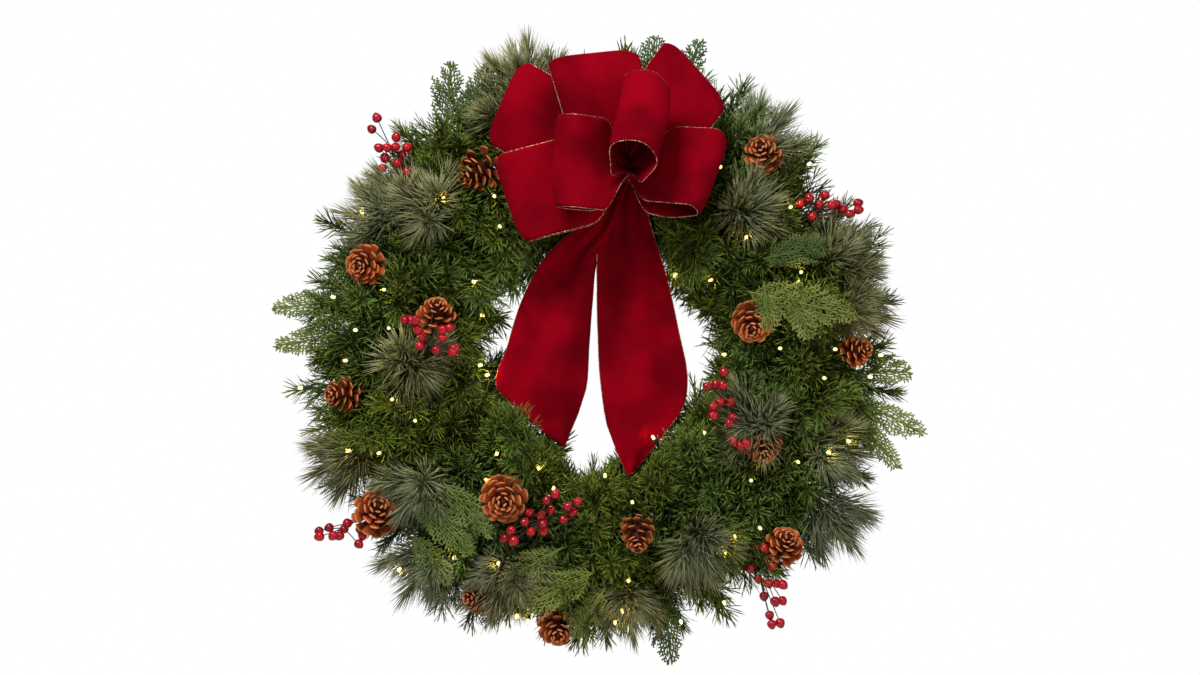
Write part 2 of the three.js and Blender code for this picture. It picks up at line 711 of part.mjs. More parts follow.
function layLamp(owner, [x, z]) {
  const out = Math.hypot(x, z);
  const angle = Math.atan2(z, x);
  const inner = out < 205;
  const run = inner ? INNER_RUN : OUTER_RUN;
  const shoulder = inner ? INNER_RUN - 3 : OUTER_RUN + 3;
  const lamp = radial(angle).multiplyScalar(out).setY(faceDepth(out));
  const curve = new THREE.CubicBezierCurve3(
    radial(angle).multiplyScalar(run).setY(RUN_Y),
    radial(angle).multiplyScalar(shoulder).setY(BUNDLE_Y - 4),
    radial(angle).multiplyScalar((shoulder + out) / 2).setY((BUNDLE_Y + lamp.y) / 2),
    lamp,
  );
  const length = curve.getLength();
  const stations = [
    { at: 0, radius: LEAD_RADIUS, turn: 0 },
    { at: 0.3, radius: LEAD_RADIUS, turn: 0 },
    { at: 1 - (LAMP_LENGTH + 1) / length, radius: LEAD_RADIUS, turn: 0 },
    { at: 1 - LAMP_LENGTH * 0.8 / length, radius: LAMP_RADIUS, turn: 0 },
    { at: 1, radius: 0, turn: 0 },
  ];
  const points = stationPoints(curve, stations);
  const free = points.slice(1).every((p, i) =>
    capsules.every((other) => other.owner === owner
      || stretchGap(points[i], p, other.start, other.end) > other.radius + 2));
  if (!free || !pointClear(lamp, owner, 3) || !pointClear(points[2], owner, 1.5)) return;
  addShoot(owner, curve, stations, 3, { radius: 1 });
  lumps.push({
    owner,
    middle: curve.getPoint(1 - LAMP_LENGTH / 2 / length),
    axis: curve.getTangent(1),
    along: LAMP_LENGTH / 2,
    across: LAMP_RADIUS,
  });
}

// --- Fir sprigs ---

function layFirs() {
  for (let sector = 0; sector < SECTORS; sector++) {
    const owner = firName(sector);
    const draw = seeded(sector + 1);
    FIR_ROWS.forEach(({ poloidal, count, reach }) => {
      for (let i = 0; i < count; i++) {
        layFir(owner, draw, (sector + (i + 0.5) / count) * SECTOR, SECTOR / count, poloidal, reach);
      }
    });
  }
}

function layFir(owner, draw, angle, span, poloidal, reach) {
  for (let go = 0; go < FIR_TRIES; go++) {
    const wide = Math.min(1, 0.35 + go / FIR_TRIES);
    const at = angle + (draw() - 0.5) * span * wide * 0.86;
    const up = (poloidal + (draw() - 0.5) * 26 * wide) * DEGREE;
    const far = reach * (0.9 + 0.16 * draw() - 0.012 * go);
    const lean = (draw() - 0.5) * 0.34;
    const lift = (draw() - 0.5) * 0.3;
    const root = fromBundle(at, up, ROOT_DEPTH);
    const knee = fromBundle(at, up, far * 0.5);
    const tip = fromBundle(at + (lean * far) / (BUNDLE_RING + far * Math.cos(up)), up + lift, far);
    const curve = new THREE.QuadraticBezierCurve3(root, knee, tip);
    const stations = whorls(curve.getLength(), FIR_WHORLS, FIR_STEM, () => ({
      length: FIR_NEEDLE,
      lean: FIR_LEAN,
    }));
    if (pathClear(stationPoints(curve, stations), owner, FIR_STEM, FIR_ROOM)) {
      addShoot(owner, curve, stations, 3, { radius: FIR_STEM });
      return;
    }
  }
}

// Gives each needled shoot the needles that are clear of all that is laid.
function keepNeedles() {
  const needled = shoots.filter((s) => !s.kept.length && s.stations.some(({ spike }) => spike));
  needled.forEach((shoot) => {
    spikesOf(shoot).forEach((spike) => {
      const start = spike.foot.clone().lerp(spike.tip, 0.12);
      const { owner } = shoot;
      if (!stretchClear(start, spike.tip, owner, NEEDLE_RADIUS, NEEDLE_ROOM, shoot)) return;
      shoot.kept.push(spike);
      layCapsule(owner, start, spike.tip, NEEDLE_RADIUS, shoot);
    });
  });
}

// --- Nodes ---

const firName = (sector) => `fir_greens_${String(sector + 1).padStart(2, "0")}`;
const numbered = (stem, i) => `${stem}_${String(i + 1).padStart(2, "0")}`;

// A hexagonal section whose flats look to the front and to the back.
function hexProfile(out, y, corner) {
  const points = [];
  for (let i = 0; i <= 6; i++) {
    const angle = (i % 6) * 60 * DEGREE;
    const place = [out + corner * Math.cos(angle), y + corner * Math.sin(angle)];
    points.push(new THREE.Vector2(...place));
  }
  return points;
}

function ringSolid(out, y, corner, steps) {
  return solid(new THREE.LatheGeometry(hexProfile(out, y, corner), steps));
}

function wireFrame() {
  const bars = [];
  for (let i = 0; i < SECTORS; i++) {
    const bar = new THREE.CylinderGeometry(BAR_CORNER, BAR_CORNER, OUTER_RING - INNER_RING, 4);
    bar.rotateY(45 * DEGREE);
    bar.rotateZ(-90 * DEGREE);
    bar.translate((OUTER_RING + INNER_RING) / 2, 0, 0);
    bar.rotateY(-(i + 0.5) * SECTOR);
    bars.push(solid(bar));
  }
  const rings = [OUTER_RING, INNER_RING].map((out) => ringSolid(out, 0, WIRE_CORNER, RING_STEPS));
  return join([...rings, ...bars]);
}

function wedge(sector) {
  const margin = SECTOR_GAP / 2;
  const middle = (sector + 0.5) * SECTOR;
  const shift = radial(middle).multiplyScalar(margin / Math.sin(SECTOR / 2));
  const corners = [0, -0.5, 0.5].map((turn, i) => {
    const reach = i ? 400 : 0;
    const place = radial(middle + turn * SECTOR).multiplyScalar(reach).add(shift);
    return new THREE.Vector2(place.x, place.z);
  });
  const shape = new THREE.Shape(corners);
  const geometry = new THREE.ExtrudeGeometry(shape, { depth: 60, bevelEnabled: false });
  geometry.rotateX(90 * DEGREE);
  geometry.translate(0, 10, 0);
  return solid(geometry);
}

const shootSolids = (owner) => shoots
  .filter((shoot) => shoot.owner === owner)
  .map((shoot) => solid(shootGeometry(shoot)));

function lightString() {
  const runs = [OUTER_RUN, INNER_RUN].map((out) => {
    const profile = [[1, 0], [0, 1], [-1, 0], [0, -1], [1, 0]].map(([x, y]) =>
      new THREE.Vector2(out + x * RUN_RADIUS, RUN_Y + y * RUN_RADIUS));
    return solid(new THREE.LatheGeometry(profile, RUN_STEPS));
  });
  const between = 2 * SECTOR + 0.1;
  const link = new THREE.QuadraticBezierCurve3(
    radial(between).multiplyScalar(OUTER_RUN).setY(RUN_Y),
    radial(between).multiplyScalar(BUNDLE_RING).setY(RUN_Y + 7),
    radial(between).multiplyScalar(INNER_RUN).setY(RUN_Y),
  );
  const stations = [0, 0.25, 0.5, 0.75, 1].map((at) => ({ at, radius: LEAD_RADIUS, turn: 0 }));
  stations.push({ at: 1.02, radius: 0, turn: 0 });
  const reference = tangent(between);
  const joined = { curve: link, stations, sides: 4, reference, kept: [] };
  return join([...runs, solid(shootGeometry(joined)), ...shootSolids("light_string")]);
}

// --- Bow ---

// A loop of ribbon: a strip that leaves the knot, turns round and comes back to it, with its
// width gathered where it meets the knot.
function ribbonLoop({ reach, width, length, full, start }) {
  const along = vector(reach).normalize();
  const across = vector(width);
  across.addScaledVector(along, -across.dot(along)).normalize();
  const rise = new THREE.Vector3().crossVectors(across, along);
  const middle = (angle) => new THREE.Vector2(
    (length / 2) * (1 - Math.cos(angle)),
    full * Math.sin(angle) * (0.55 - 0.45 * Math.cos(angle)) + 3 * Math.cos(angle / 2),
  );
  const edge = (angle, side) => {
    const slope = middle(angle + 0.01).sub(middle(angle - 0.01)).normalize();
    const offset = new THREE.Vector2(-slope.y, slope.x).multiplyScalar((side * RIBBON_THICK) / 2);
    return middle(angle).add(offset);
  };
  const turns = Array.from({ length: LOOP_STEPS + 1 }, (_, i) => (i / LOOP_STEPS) * TURN);
  const outer = turns.map((angle) => edge(angle, 1));
  const inner = turns.map((angle) => edge(angle, -1)).reverse();
  const shape = new THREE.Shape([...outer, ...inner]);
  const geometry = new THREE.ExtrudeGeometry(shape, { depth: RIBBON_WIDTH, bevelEnabled: false });
  const places = geometry.attributes.position;
  const origin = KNOT.clone().setY(start);
  for (let i = 0; i < places.count; i++) {
    const x = places.getX(i);
    const spread = THREE.MathUtils.smoothstep(x, -4, length * 0.5);
    const w = (places.getZ(i) - RIBBON_WIDTH / 2) * (0.14 + 0.86 * spread);
    const placed = origin.clone().addScaledVector(along, x);
    placed.addScaledVector(rise, places.getY(i)).addScaledVector(across, w);
    places.setXYZ(i, placed.x, placed.y, placed.z);
  }
  return solid(geometry);
}

function bowLoops() {
  const knot = new THREE.SphereGeometry(KNOT_RADIUS, 8, 5);
  knot.scale(1, KNOT_LONG / KNOT_RADIUS, 1);
  knot.translate(KNOT.x, KNOT.y, KNOT.z);
  const neck = new THREE.CylinderGeometry(NECK_RADIUS, NECK_RADIUS, 24, 8);
  neck.translate(KNOT.x, KNOT.y + TIE_BACK - 6, KNOT.z);
  return join([solid(knot), solid(neck), ...LOOPS.map(ribbonLoop)]);
}

function tailSolid(pairs) {
  const places = [];
  const triangle = (...corners) => corners.forEach((c) => places.push(c.x, c.y, c.z));
  const rows = pairs.map(([x1, z1, x2, z2]) => {
    const at = (share, thick) => {
      const z = z1 + (z2 - z1) * share;
      const crown = TAIL_CROWN * Math.sin(Math.PI * share);
      const y = tailDepth(z) - crown + thick;
      return new THREE.Vector3(x1 + (x2 - x1) * share, y, z);
    };
    return [[0, 0.5, 1].map((share) => at(share, -RIBBON_THICK / 2)),
      [0, 0.5, 1].map((share) => at(share, RIBBON_THICK / 2))];
  });
  const loop = ([front, rear]) => [...front, ...[...rear].reverse()];
  const rings = rows.map(loop);
  for (let row = 0; row < rings.length - 1; row++) {
    for (let i = 0; i < 6; i++) {
      const next = (i + 1) % 6;
      const [a, b, c, d] = [rings[row][i], rings[row][next], rings[row + 1][next], rings[row + 1][i]];
      triangle(a, b, c);
      triangle(a, c, d);
    }
  }
  [rings[0], [...rings[rings.length - 1]].reverse()].forEach(([a, b, c, d, e, f]) => {
    triangle(a, f, e);
    triangle(a, e, b);
    triangle(b, e, d);
    triangle(b, d, c);
  });
  const geometry = new THREE.BufferGeometry();
  geometry.setAttribute("position", new THREE.Float32BufferAttribute(places, 3));
  return solid(geometry);
}

function bowTails() {
  return join(TAILS.map(tailSolid));
}

const tieMiddle = KNOT.clone().setY(KNOT.y + TIE_BACK);
const tieShoulder = tieMiddle.clone().setZ(KNOT.z + COLLAR_RING - 0.2);

function bowTie() {
  const collar = ringSolid(COLLAR_RING, 0, TIE_WIRE, 12);
  const shank = {
    curve: stemCurve(tieShoulder),
    stations: [{ at: 0, radius: 1.5, turn: 0 }, { at: 1, radius: 1.5, turn: 0 },
      { at: 1.02, radius: 0, turn: 0 }],
    sides: 5,
    reference: tangent(80 * DEGREE),
    kept: [],
  };
  return join([collar.translate(tieMiddle.toArray()), solid(shootGeometry(shank))]);
}

// --- Assembly ---

layPath("bow_tie", [stemCurve(tieShoulder).v0, tieShoulder], 2);
lumps.push({
  owner: "bow_loops",
  middle: KNOT.clone().setY(KNOT.y + TIE_BACK / 3),
  axis: new THREE.Vector3(0, 1, 0),
  along: 42,
  across: 16,
});
CONES.forEach((cone, i) => layCone(numbered("pine_cone", i), cone));
BERRIES.forEach((spray, i) => layBerries(numbered("berry_spray", i), spray));
CEDARS.forEach(({ blades }, i) => {
  const feet = blades.map(({ from }) => vector(from));
  blades.forEach((blade) => layFrond(numbered("cedar_frond", i), blade, feet));
});
PINES.forEach((spray, i) => layPine(numbered("pine_spray", i), spray));
LAMPS.filter((_, i) => i % 3 !== 2).forEach((place) => layLamp("light_string", place));
layFirs();
keepNeedles();

const wreath = new THREE.Group();
wreath.position.set(0, 0, CENTRE_Z);
const bundle = ringSolid(BUNDLE_RING, BUNDLE_Y, BUNDLE_CORNER, BUNDLE_STEPS);
const guardCorner = BUNDLE_CORNER + GAP / Math.cos(30 * DEGREE);
const guard = ringSolid(BUNDLE_RING, BUNDLE_Y, guardCorner, BUNDLE_STEPS);

wreath.add(mesh("wire_frame", wireFrame(), COLOURS.wire));
for (let sector = 0; sector < SECTORS; sector++) {
  const name = firName(sector);
  const arc = bundle.intersect(wedge(sector));
  wreath.add(mesh(name, largest(join([arc, ...shootSolids(name)])), COLOURS.fir));
}
PINES.forEach((spray, i) => {
  const name = numbered("pine_spray", i);
  wreath.add(mesh(name, largest(join(shootSolids(name)).subtract(guard)), COLOURS.pine));
});
CEDARS.forEach(({ blades }, i) => {
  const name = numbered("cedar_frond", i);
  const fronds = blades.map((blade) => solid(frondGeometry(blade)));
  const body = join([...fronds, ...shootSolids(name)]).subtract(guard);
  wreath.add(mesh(name, largest(body), COLOURS.cedar));
});
CONES.forEach((cone, i) => {
  const name = numbered("pine_cone", i);
  wreath.add(mesh(name, largest(join(shootSolids(name)).subtract(guard)), COLOURS.cone));
});
BERRIES.forEach((spray, i) => {
  const name = numbered("berry_spray", i);
  wreath.add(mesh(name, largest(join(shootSolids(name)).subtract(guard)), COLOURS.berry));
});
wreath.add(mesh("light_string", largest(lightString()), COLOURS.lamp));
wreath.add(mesh("bow_loops", bowLoops(), COLOURS.velvet));
wreath.add(mesh("bow_tails", bowTails(), COLOURS.velvet));
wreath.add(mesh("bow_tie", largest(bowTie().subtract(guard)), COLOURS.tie));

const group = new THREE.Group();
group.add(wreath);

export default group;
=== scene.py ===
"""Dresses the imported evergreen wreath: needles, fronds, cones, berries, lamps and ribbon."""

import functools
import logging
import math
from collections.abc import Sequence
from dataclasses import dataclass, field, replace
from enum import Enum
from typing import ClassVar

import bpy
import numpy as np
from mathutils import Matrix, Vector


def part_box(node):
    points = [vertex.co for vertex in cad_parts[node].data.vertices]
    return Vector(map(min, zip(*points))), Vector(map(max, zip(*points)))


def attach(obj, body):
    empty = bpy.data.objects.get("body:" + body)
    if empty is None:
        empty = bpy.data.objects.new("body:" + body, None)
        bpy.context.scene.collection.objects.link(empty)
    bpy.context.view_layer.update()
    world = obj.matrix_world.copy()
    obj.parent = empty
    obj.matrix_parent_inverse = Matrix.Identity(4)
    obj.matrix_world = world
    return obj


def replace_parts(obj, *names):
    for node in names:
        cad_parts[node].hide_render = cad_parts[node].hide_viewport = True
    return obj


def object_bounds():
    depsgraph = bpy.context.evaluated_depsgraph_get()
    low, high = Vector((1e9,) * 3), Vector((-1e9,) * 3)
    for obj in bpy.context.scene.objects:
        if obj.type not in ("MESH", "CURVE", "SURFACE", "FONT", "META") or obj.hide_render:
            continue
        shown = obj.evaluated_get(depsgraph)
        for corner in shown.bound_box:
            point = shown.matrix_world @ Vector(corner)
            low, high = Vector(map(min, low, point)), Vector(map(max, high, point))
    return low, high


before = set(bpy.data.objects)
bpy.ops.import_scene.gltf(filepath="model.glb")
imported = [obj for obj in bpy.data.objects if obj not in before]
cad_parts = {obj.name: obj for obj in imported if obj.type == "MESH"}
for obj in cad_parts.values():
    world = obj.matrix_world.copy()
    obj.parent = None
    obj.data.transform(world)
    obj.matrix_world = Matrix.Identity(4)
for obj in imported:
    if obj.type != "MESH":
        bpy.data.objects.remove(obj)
CAD_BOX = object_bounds()

Array = np.ndarray
Axes = tuple[Array, Array]
Colour = tuple[float, float, float]
Place = tuple[float, float, float]
Blade = tuple[Place, Place, float]
Row = tuple[float, int, float]
Outline = Sequence[Sequence[float]]
Socket = bpy.types.NodeSocket

LOG = logging.getLogger("wreath")
BODY = "root"
SHADE = "shade"
MM = 0.001
TURN = 2 * math.pi
GOLDEN_TURN = TURN * 0.381966
BACKWARD = np.array([0.0, 1.0, 0.0])
# A direction that no twig, stalk or wire runs along, to set their sections by.
SPARE = np.array([0.31, 0.22, 0.93])

# Sizes in millimetres, the same as in the solids; places are from the wreath's middle.
MIDDLE_Z = sum(corner[2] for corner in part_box("wire_frame")) / 2 / MM
SECTORS = 10
SECTOR = TURN / SECTORS
OUTER_RING = 250.0
INNER_RING = 200.0
WIRE_RADIUS = 2.1
BAR_RADIUS = 1.8
BUNDLE_RING = 225.0
BUNDLE_Y = -12.0
ROOT_DEPTH = 6.0
KNEE_SHARE = 0.55
OUTER_RUN = 240.0
INNER_RUN = 210.0
RUN_Y = -3.6
FACE_HEIGHT = 84.0
FACE_HALF = 150.0
RIBBON_WIDTH = 102.0
RIBBON_THICK = 0.9
KNOT = np.array([33.0, -121.0, 204.0])
TIE_BACK = 48.0
BERRY_RADIUS = 5.0

# The greens keep clear of the opening, of the slit between the tails (left, right, low, high),
# of the space behind the bow and of the wall. Twigs stay before WALL_Y; needles that pass it
# are laid flat at WALL_TOUCH.
HOLE_HALF = 84.0
HOLE_LOW = -88.0
HOLE_HIGH = 74.0
SLIT = (-34.0, 18.0, -140.0, -72.0)
WALL_Y = -1.0
WALL_TOUCH = 1.0
BOW_BACK = -66.0
# They may lap the outer ends of the tails: between the heights LAP, outside LAP_SIDES and at
# least TAIL_FRONT before the ribbon. Elsewhere they stay TAIL_SWAY behind it, for its folds.
LAP = (-112.0, -56.0)
LAP_SIDES = (-48.0, 68.0)
TAIL_SWAY = 10.0
TAIL_FRONT = 13.0
# Room that twigs and needles leave to the ribbon.
TWIG_GAP = 3.0

# The outline of the bow's loops on the face.
BOW_OUTLINE: Outline = (
    (-138, 244), (-96, 340), (48, 356), (86, 362), (154, 284), (152, 204),
    (118, 142), (58, 160), (-36, 122), (-90, 108), (-124, 216),
)

# Pine cones: middle, axis, greatest width and length.
CONES = (
    ((-141, -66, 204), (-0.55, -0.6, -0.3), 54, 52),
    ((189, -80, 228), (-0.2, -1, 0.3), 48, 46),
    ((-267, -84, 97), (-0.3, -1, -0.1), 48, 44),
    ((-183, -88, 42), (0.1, -0.7, 0.7), 48, 48),
    ((-297, -58, -51), (-0.7, -0.7, 0), 42, 42),
    ((-252, -72, -184), (0.2, -1, 0.4), 56, 48),
    ((-106, -104, -170), (0, -1, -0.1), 56, 46),
    ((46, -104, -213), (0, -0.75, -0.65), 40, 52),
    ((216, -74, -221), (0.2, -1, 0.5), 46, 46),
    ((-45, -52, -322), (0, -0.9, -0.4), 50, 44),
    ((-138, -62, -284), (-0.6, -0.7, 0), 44, 44),
    ((177, -92, 29), (-0.1, -1, -0.4), 50, 44),
    ((302, -66, 0), (0.6, -0.8, 0.1), 38, 40),
    ((191, -78, -113), (0, -0.9, -0.5), 44, 44),
)

# Pine sprays: where each stem ends, and the length of the needles.
PINES = (
    (((-79, -40, 341), (-119, -38, 303)), 46),
    (((206, -58, 262),), 44),
    (((-194, -92, 168),), 50),
    (((168, -92, 160),), 50),
    (((290, -58, 126), (312, -52, 42)), 46),
    (((-212, -104, -14),), 52),
    (((-306, -42, -130),), 52),
    (((-196, -92, -146),), 50),
    (((-210, -56, -262),), 48),
    (((110, -98, -206),), 52),
    (((176, -104, -80),), 48),
    (((278, -66, -104), (280, -52, -206)), 46),
    (((36, -76, -292),), 42),
    (((-112, -86, -268), (-84, -72, -236)), 44),
    (((-274, -48, 156), (-236, -62, 196)), 44),
)

# Cedar fronds: foot, tip and width of each blade, and how blue the frond is.
CEDARS = (
    ((((-175, -46, 246), (-169, -32, 336), 56), ((-150, -50, 250), (-124, -34, 334), 50)), 0.5),
    ((((-296, -34, 58), (-379, -28, 47), 44), ((-296, -30, 18), (-376, -24, 4), 44)), 0.2),
    (
        (
            ((172, -108, 66), (300, -86, 38), 66),
            ((190, -110, 70), (196, -102, 22), 40),
            ((216, -110, 66), (244, -100, 14), 42),
        ),
        0.1,
    ),
    ((((190, -98, 104), (266, -76, 122), 54),), 0.8),
    (
        (
            ((306, -34, -62), (382, -28, -98), 44),
            ((296, -40, -78), (352, -32, -138), 42),
            ((300, -36, -24), (366, -30, -26), 46),
        ),
        0.0,
    ),
    (
        (
            ((-206, -94, -168), (-140, -86, -232), 54),
            ((-176, -88, -150), (-118, -88, -214), 46),
            ((-210, -80, -210), (-168, -74, -268), 44),
        ),
        0.4,
    ),
    (
        (
            ((-4, -88, -254), (-92, -72, -298), 62),
            ((-40, -86, -226), (-104, -78, -262), 46),
            ((10, -74, -272), (-30, -62, -330), 44),
        ),
        0.15,
    ),
    ((((78, -44, -296), (86, -36, -363), 44),), 0.9),
    ((((62, -36, 304), (67, -30, 364), 46), ((96, -40, 300), (120, -32, 360), 44)), 0.5),
)

# Berry sprays: the stem's end, how far forward the berries lie, and the berries on the face.
BERRIES = (
    ((-240, -62, 236), -64, ((-252, 266), (-259, 254), (-230, 244), (-231, 233), (-218, 233),
     (-250, 232), (-240, 232), (-225, 225), (-244, 221), (-229, 214), (-247, 209), (-218, 204),
     (-221, 197))),
    ((-192, -114, 8), -118, ((-217, 34), (-210, 34), (-204, 34), (-202, 23), (-198, 14),
     (-200, 5), (-174, 23), (-167, 25), (-174, 14), (-181, 0), (-163, -2), (-161, 2))),
    ((262, -66, 164), -68, ((233, 168), (243, 174), (255, 167), (269, 166), (274, 168),
     (300, 169), (300, 161), (290, 156), (247, 153), (262, 178), (282, 162))),
    ((146, -94, -62), -100, ((144, -25), (125, -41), (136, -39), (143, -40), (140, -59),
     (152, -59), (132, -64), (132, -74), (154, -77), (150, -83), (155, -103), (163, -109),
     (169, -106))),
    ((-62, -100, -192), -104, ((-57, -170), (-47, -163), (-53, -182), (-63, -187), (-61, -197),
     (-60, -205), (-77, -185), (-82, -195), (-75, -206), (-97, -204), (-105, -214), (-94, -216),
     (-22, -172), (-28, -184), (-38, -193), (-33, -177))),
    ((-296, -50, -208), -52, ((-321, -209), (-320, -215), (-309, -205), (-288, -200),
     (-292, -207), (-296, -214), (-273, -207), (-270, -214), (-274, -223), (-304, -214))),
    ((196, -62, -262), -66, ((185, -225), (192, -227), (197, -241), (201, -248), (176, -251),
     (185, -263), (197, -268), (206, -268), (213, -269), (192, -283), (204, -288), (213, -288),
     (198, -304), (200, -314), (210, -313))),
)

# Lamps of the string, by their place on the face of the wreath.
LAMPS = (
    (-175, 174), (-116, 174), (-271, 159), (-243, 69), (-139, 77), (-129, 39), (-277, 23),
    (-237, 25), (-289, -12), (-131, -17), (-123, -28), (-344, -44), (-233, -56), (-206, -80),
    (-286, -116), (-250, -118), (-113, -117), (-126, -147), (-66, -133), (-49, -156),
    (-164, -238), (-113, -244), (-229, -254), (-93, -307), (-80, -313), (36, -264), (29, -300),
    (21, -314), (97, -314), (147, -292), (147, -231), (158, -213), (187, -204), (175, -148),
    (40, -172), (9, -141), (63, -98), (121, -93), (230, -128), (266, -118),
    (290, -105), (260, -32), (315, -31), (328, -6), (273, 1), (207, 2), (143, -5), (233, 89),
    (229, 77), (169, 128), (222, 164), (245, 215), (88, 84), (128, 79), (141, 209),
    (-110, 140), (-304, 61),
)

# Tails: pairs of edge points (left x, z, right x, z) from the knot down; the last is the tip.
TAILS = (
    ((18, 197.2, 42, 197.2), (-16, 148, 18, 132), (-58, 108, 0, 101), (-83, 64, -5, 58),
     (-102, 7, -9, 6), (-113, -48, -13, -46), (-78, -82, -22, -74), (-39, -112, -38, -112)),
    ((24, 197.2, 48, 197.2), (2, 128, 62, 142), (0, 70, 80, 84), (1, 18, 94, 22),
     (4, -36, 104, -34), (12, -88, 96, -72), (24, -120, 66, -112), (36, -146, 38, -146)),
)
TAIL_OUTLINES = [
    [row[:2] for row in pairs] + [row[2:] for row in reversed(pairs)] for pairs in TAILS
]
TAIL_TOP_Y = -80.0
TAIL_FOOT_Y = -52.0
TAIL_HIGH = 186.0
TAIL_LOW = -146.0


# --- Small tools ---


def tag(number: int) -> str:
    """The two digits in the name of a numbered piece."""
    return f"{number + 1:02d}"


def vector(values: Sequence[float]) -> Array:
    """Numbers as an array of floats."""
    return np.array(values, dtype=float)


def unit(values: Array) -> Array:
    """Vectors of length one in the same directions."""
    size = np.linalg.norm(values, axis=-1, keepdims=True)
    return values / np.maximum(size, 1e-9)


def between(first: Array, second: Array, turn: Array | float) -> Array:
    """Directions turned by angles from a first direction to a second one."""
    angle = np.asarray(turn, dtype=float)[..., None]
    return first * np.cos(angle) + second * np.sin(angle)


def radial(angle: Array | float) -> Array:
    """The direction away from the wreath's middle at an angle."""
    return between(np.array([1.0, 0.0, 0.0]), np.array([0.0, 0.0, 1.0]), angle)


def from_bundle(angle: Array | float, poloidal: Array | float, distance: Array | float) -> Array:
    """A point at a distance from the middle of the bundle.

    Args:
        angle: Angle round the wreath.
        poloidal: Angle round the bundle, 0 outward and a quarter turn to the front.
        distance: Distance from the bundle's middle.

    Returns:
        The point, with the shape of the arguments and a last axis of three.
    """
    up = np.asarray(poloidal, dtype=float)
    out = BUNDLE_RING + distance * np.cos(up)
    point = radial(angle) * np.asarray(out)[..., None]
    point[..., 1] = BUNDLE_Y - distance * np.sin(up)
    return point


def about_bundle(point: Array) -> tuple[float, float, float]:
    """Where a point lies about the bundle.

    Args:
        point: The point (3,).

    Returns:
        The angle round the wreath, the angle round the bundle and the distance from it.
    """
    out = math.hypot(point[0], point[2]) - BUNDLE_RING
    front = BUNDLE_Y - point[1]
    return math.atan2(point[2], point[0]), math.atan2(front, out), math.hypot(out, front)


def bezier(points: Sequence[Array], steps: int) -> Array:
    """Points along a Bezier curve.

    Args:
        points: Its three or four control points.
        steps: How many points to return.

    Returns:
        The points, from the first to the last.
    """
    t = np.linspace(0, 1, steps)[:, None]
    order = len(points) - 1
    return sum(
        math.comb(order, i) * (1 - t) ** (order - i) * t**i * np.asarray(p, dtype=float)
        for i, p in enumerate(points)
    )


def stem_curve(target: Array, bow: float, fork: Sequence[Array], steps: int = 9) -> Array:
    """The path of a stem from inside the bundle to its target, as in the solids.

    Args:
        target: Where the stem ends.
        bow: How far its knee is turned to the front, in radians.
        fork: The targets of all stems that share its root.
        steps: How many points to return.

    Returns:
        The points of the path.
    """
    angle, poloidal, distance = about_bundle(target)
    shared = about_bundle(np.mean(fork, axis=0))
    root = from_bundle(shared[0], shared[1], ROOT_DEPTH)
    knee = from_bundle((angle + shared[0]) / 2, poloidal + bow, distance * KNEE_SHARE)
    return bezier([root, knee, target], steps)


def smoothstep(values: Array, low: float, high: float) -> Array:
    """A smooth rise from 0 at low to 1 at high."""
    t = np.clip((values - low) / (high - low), 0, 1)
    return t * t * (3 - 2 * t)


def resample(path: Array, places: Array) -> Array:
    """Points of a path at lengths along it.

    Args:
        path: The path (k, 3).
        places: Lengths from its start (n,).

    Returns:
        The points (n, 3).
    """
    steps = np.linalg.norm(np.diff(path, axis=0), axis=1)
    along = np.concatenate([[0], np.cumsum(steps)])
    return np.stack([np.interp(places, along, path[:, i]) for i in range(3)], axis=-1)


def path_length(path: Array) -> float:
    """The length of a path."""
    return float(np.linalg.norm(np.diff(path, axis=0), axis=1).sum())


def frames(paths: Array, reference: Array) -> Axes:
    """Two directions across each point of each path.

    Args:
        paths: Paths (n, k, 3).
        reference: A direction that no path runs along.

    Returns:
        The across and the normal directions; across times normal is along.
    """
    along = unit(np.gradient(paths, axis=1))
    across = unit(np.cross(np.broadcast_to(reference, (len(paths), 3))[:, None], along))
    return across, np.cross(along, across)


def shades(along: Array | float, tone: Array | float, wood: Array | float = 0.0) -> Array:
    """The shades of tubes.

    Args:
        along: From 0 at the foot to 1 at the tip, (k,) or (n, k) or one number.
        tone: From 0, dark, to 1, light, (n,) or one number.
        wood: 1 for a stem or a rim, 0 for what grows on it, (k,) or one number.

    Returns:
        Shades (n, k, 4).
    """
    light = np.atleast_1d(np.asarray(tone, dtype=float))[:, None]
    reach, light = np.broadcast_arrays(np.atleast_2d(np.asarray(along, dtype=float)), light)
    return np.stack([reach, light, np.full_like(reach, wood), np.ones_like(reach)], axis=-1)


def add_object(name: str, data: bpy.types.ID) -> bpy.types.Object:
    """Puts a new object in the scene.

    Args:
        name: Its name.
        data: Its mesh, camera or light.

    Returns:
        The object.
    """
    made = bpy.data.objects.new(name, data)
    bpy.context.scene.collection.objects.link(made)
    return made


# --- Finishes ---


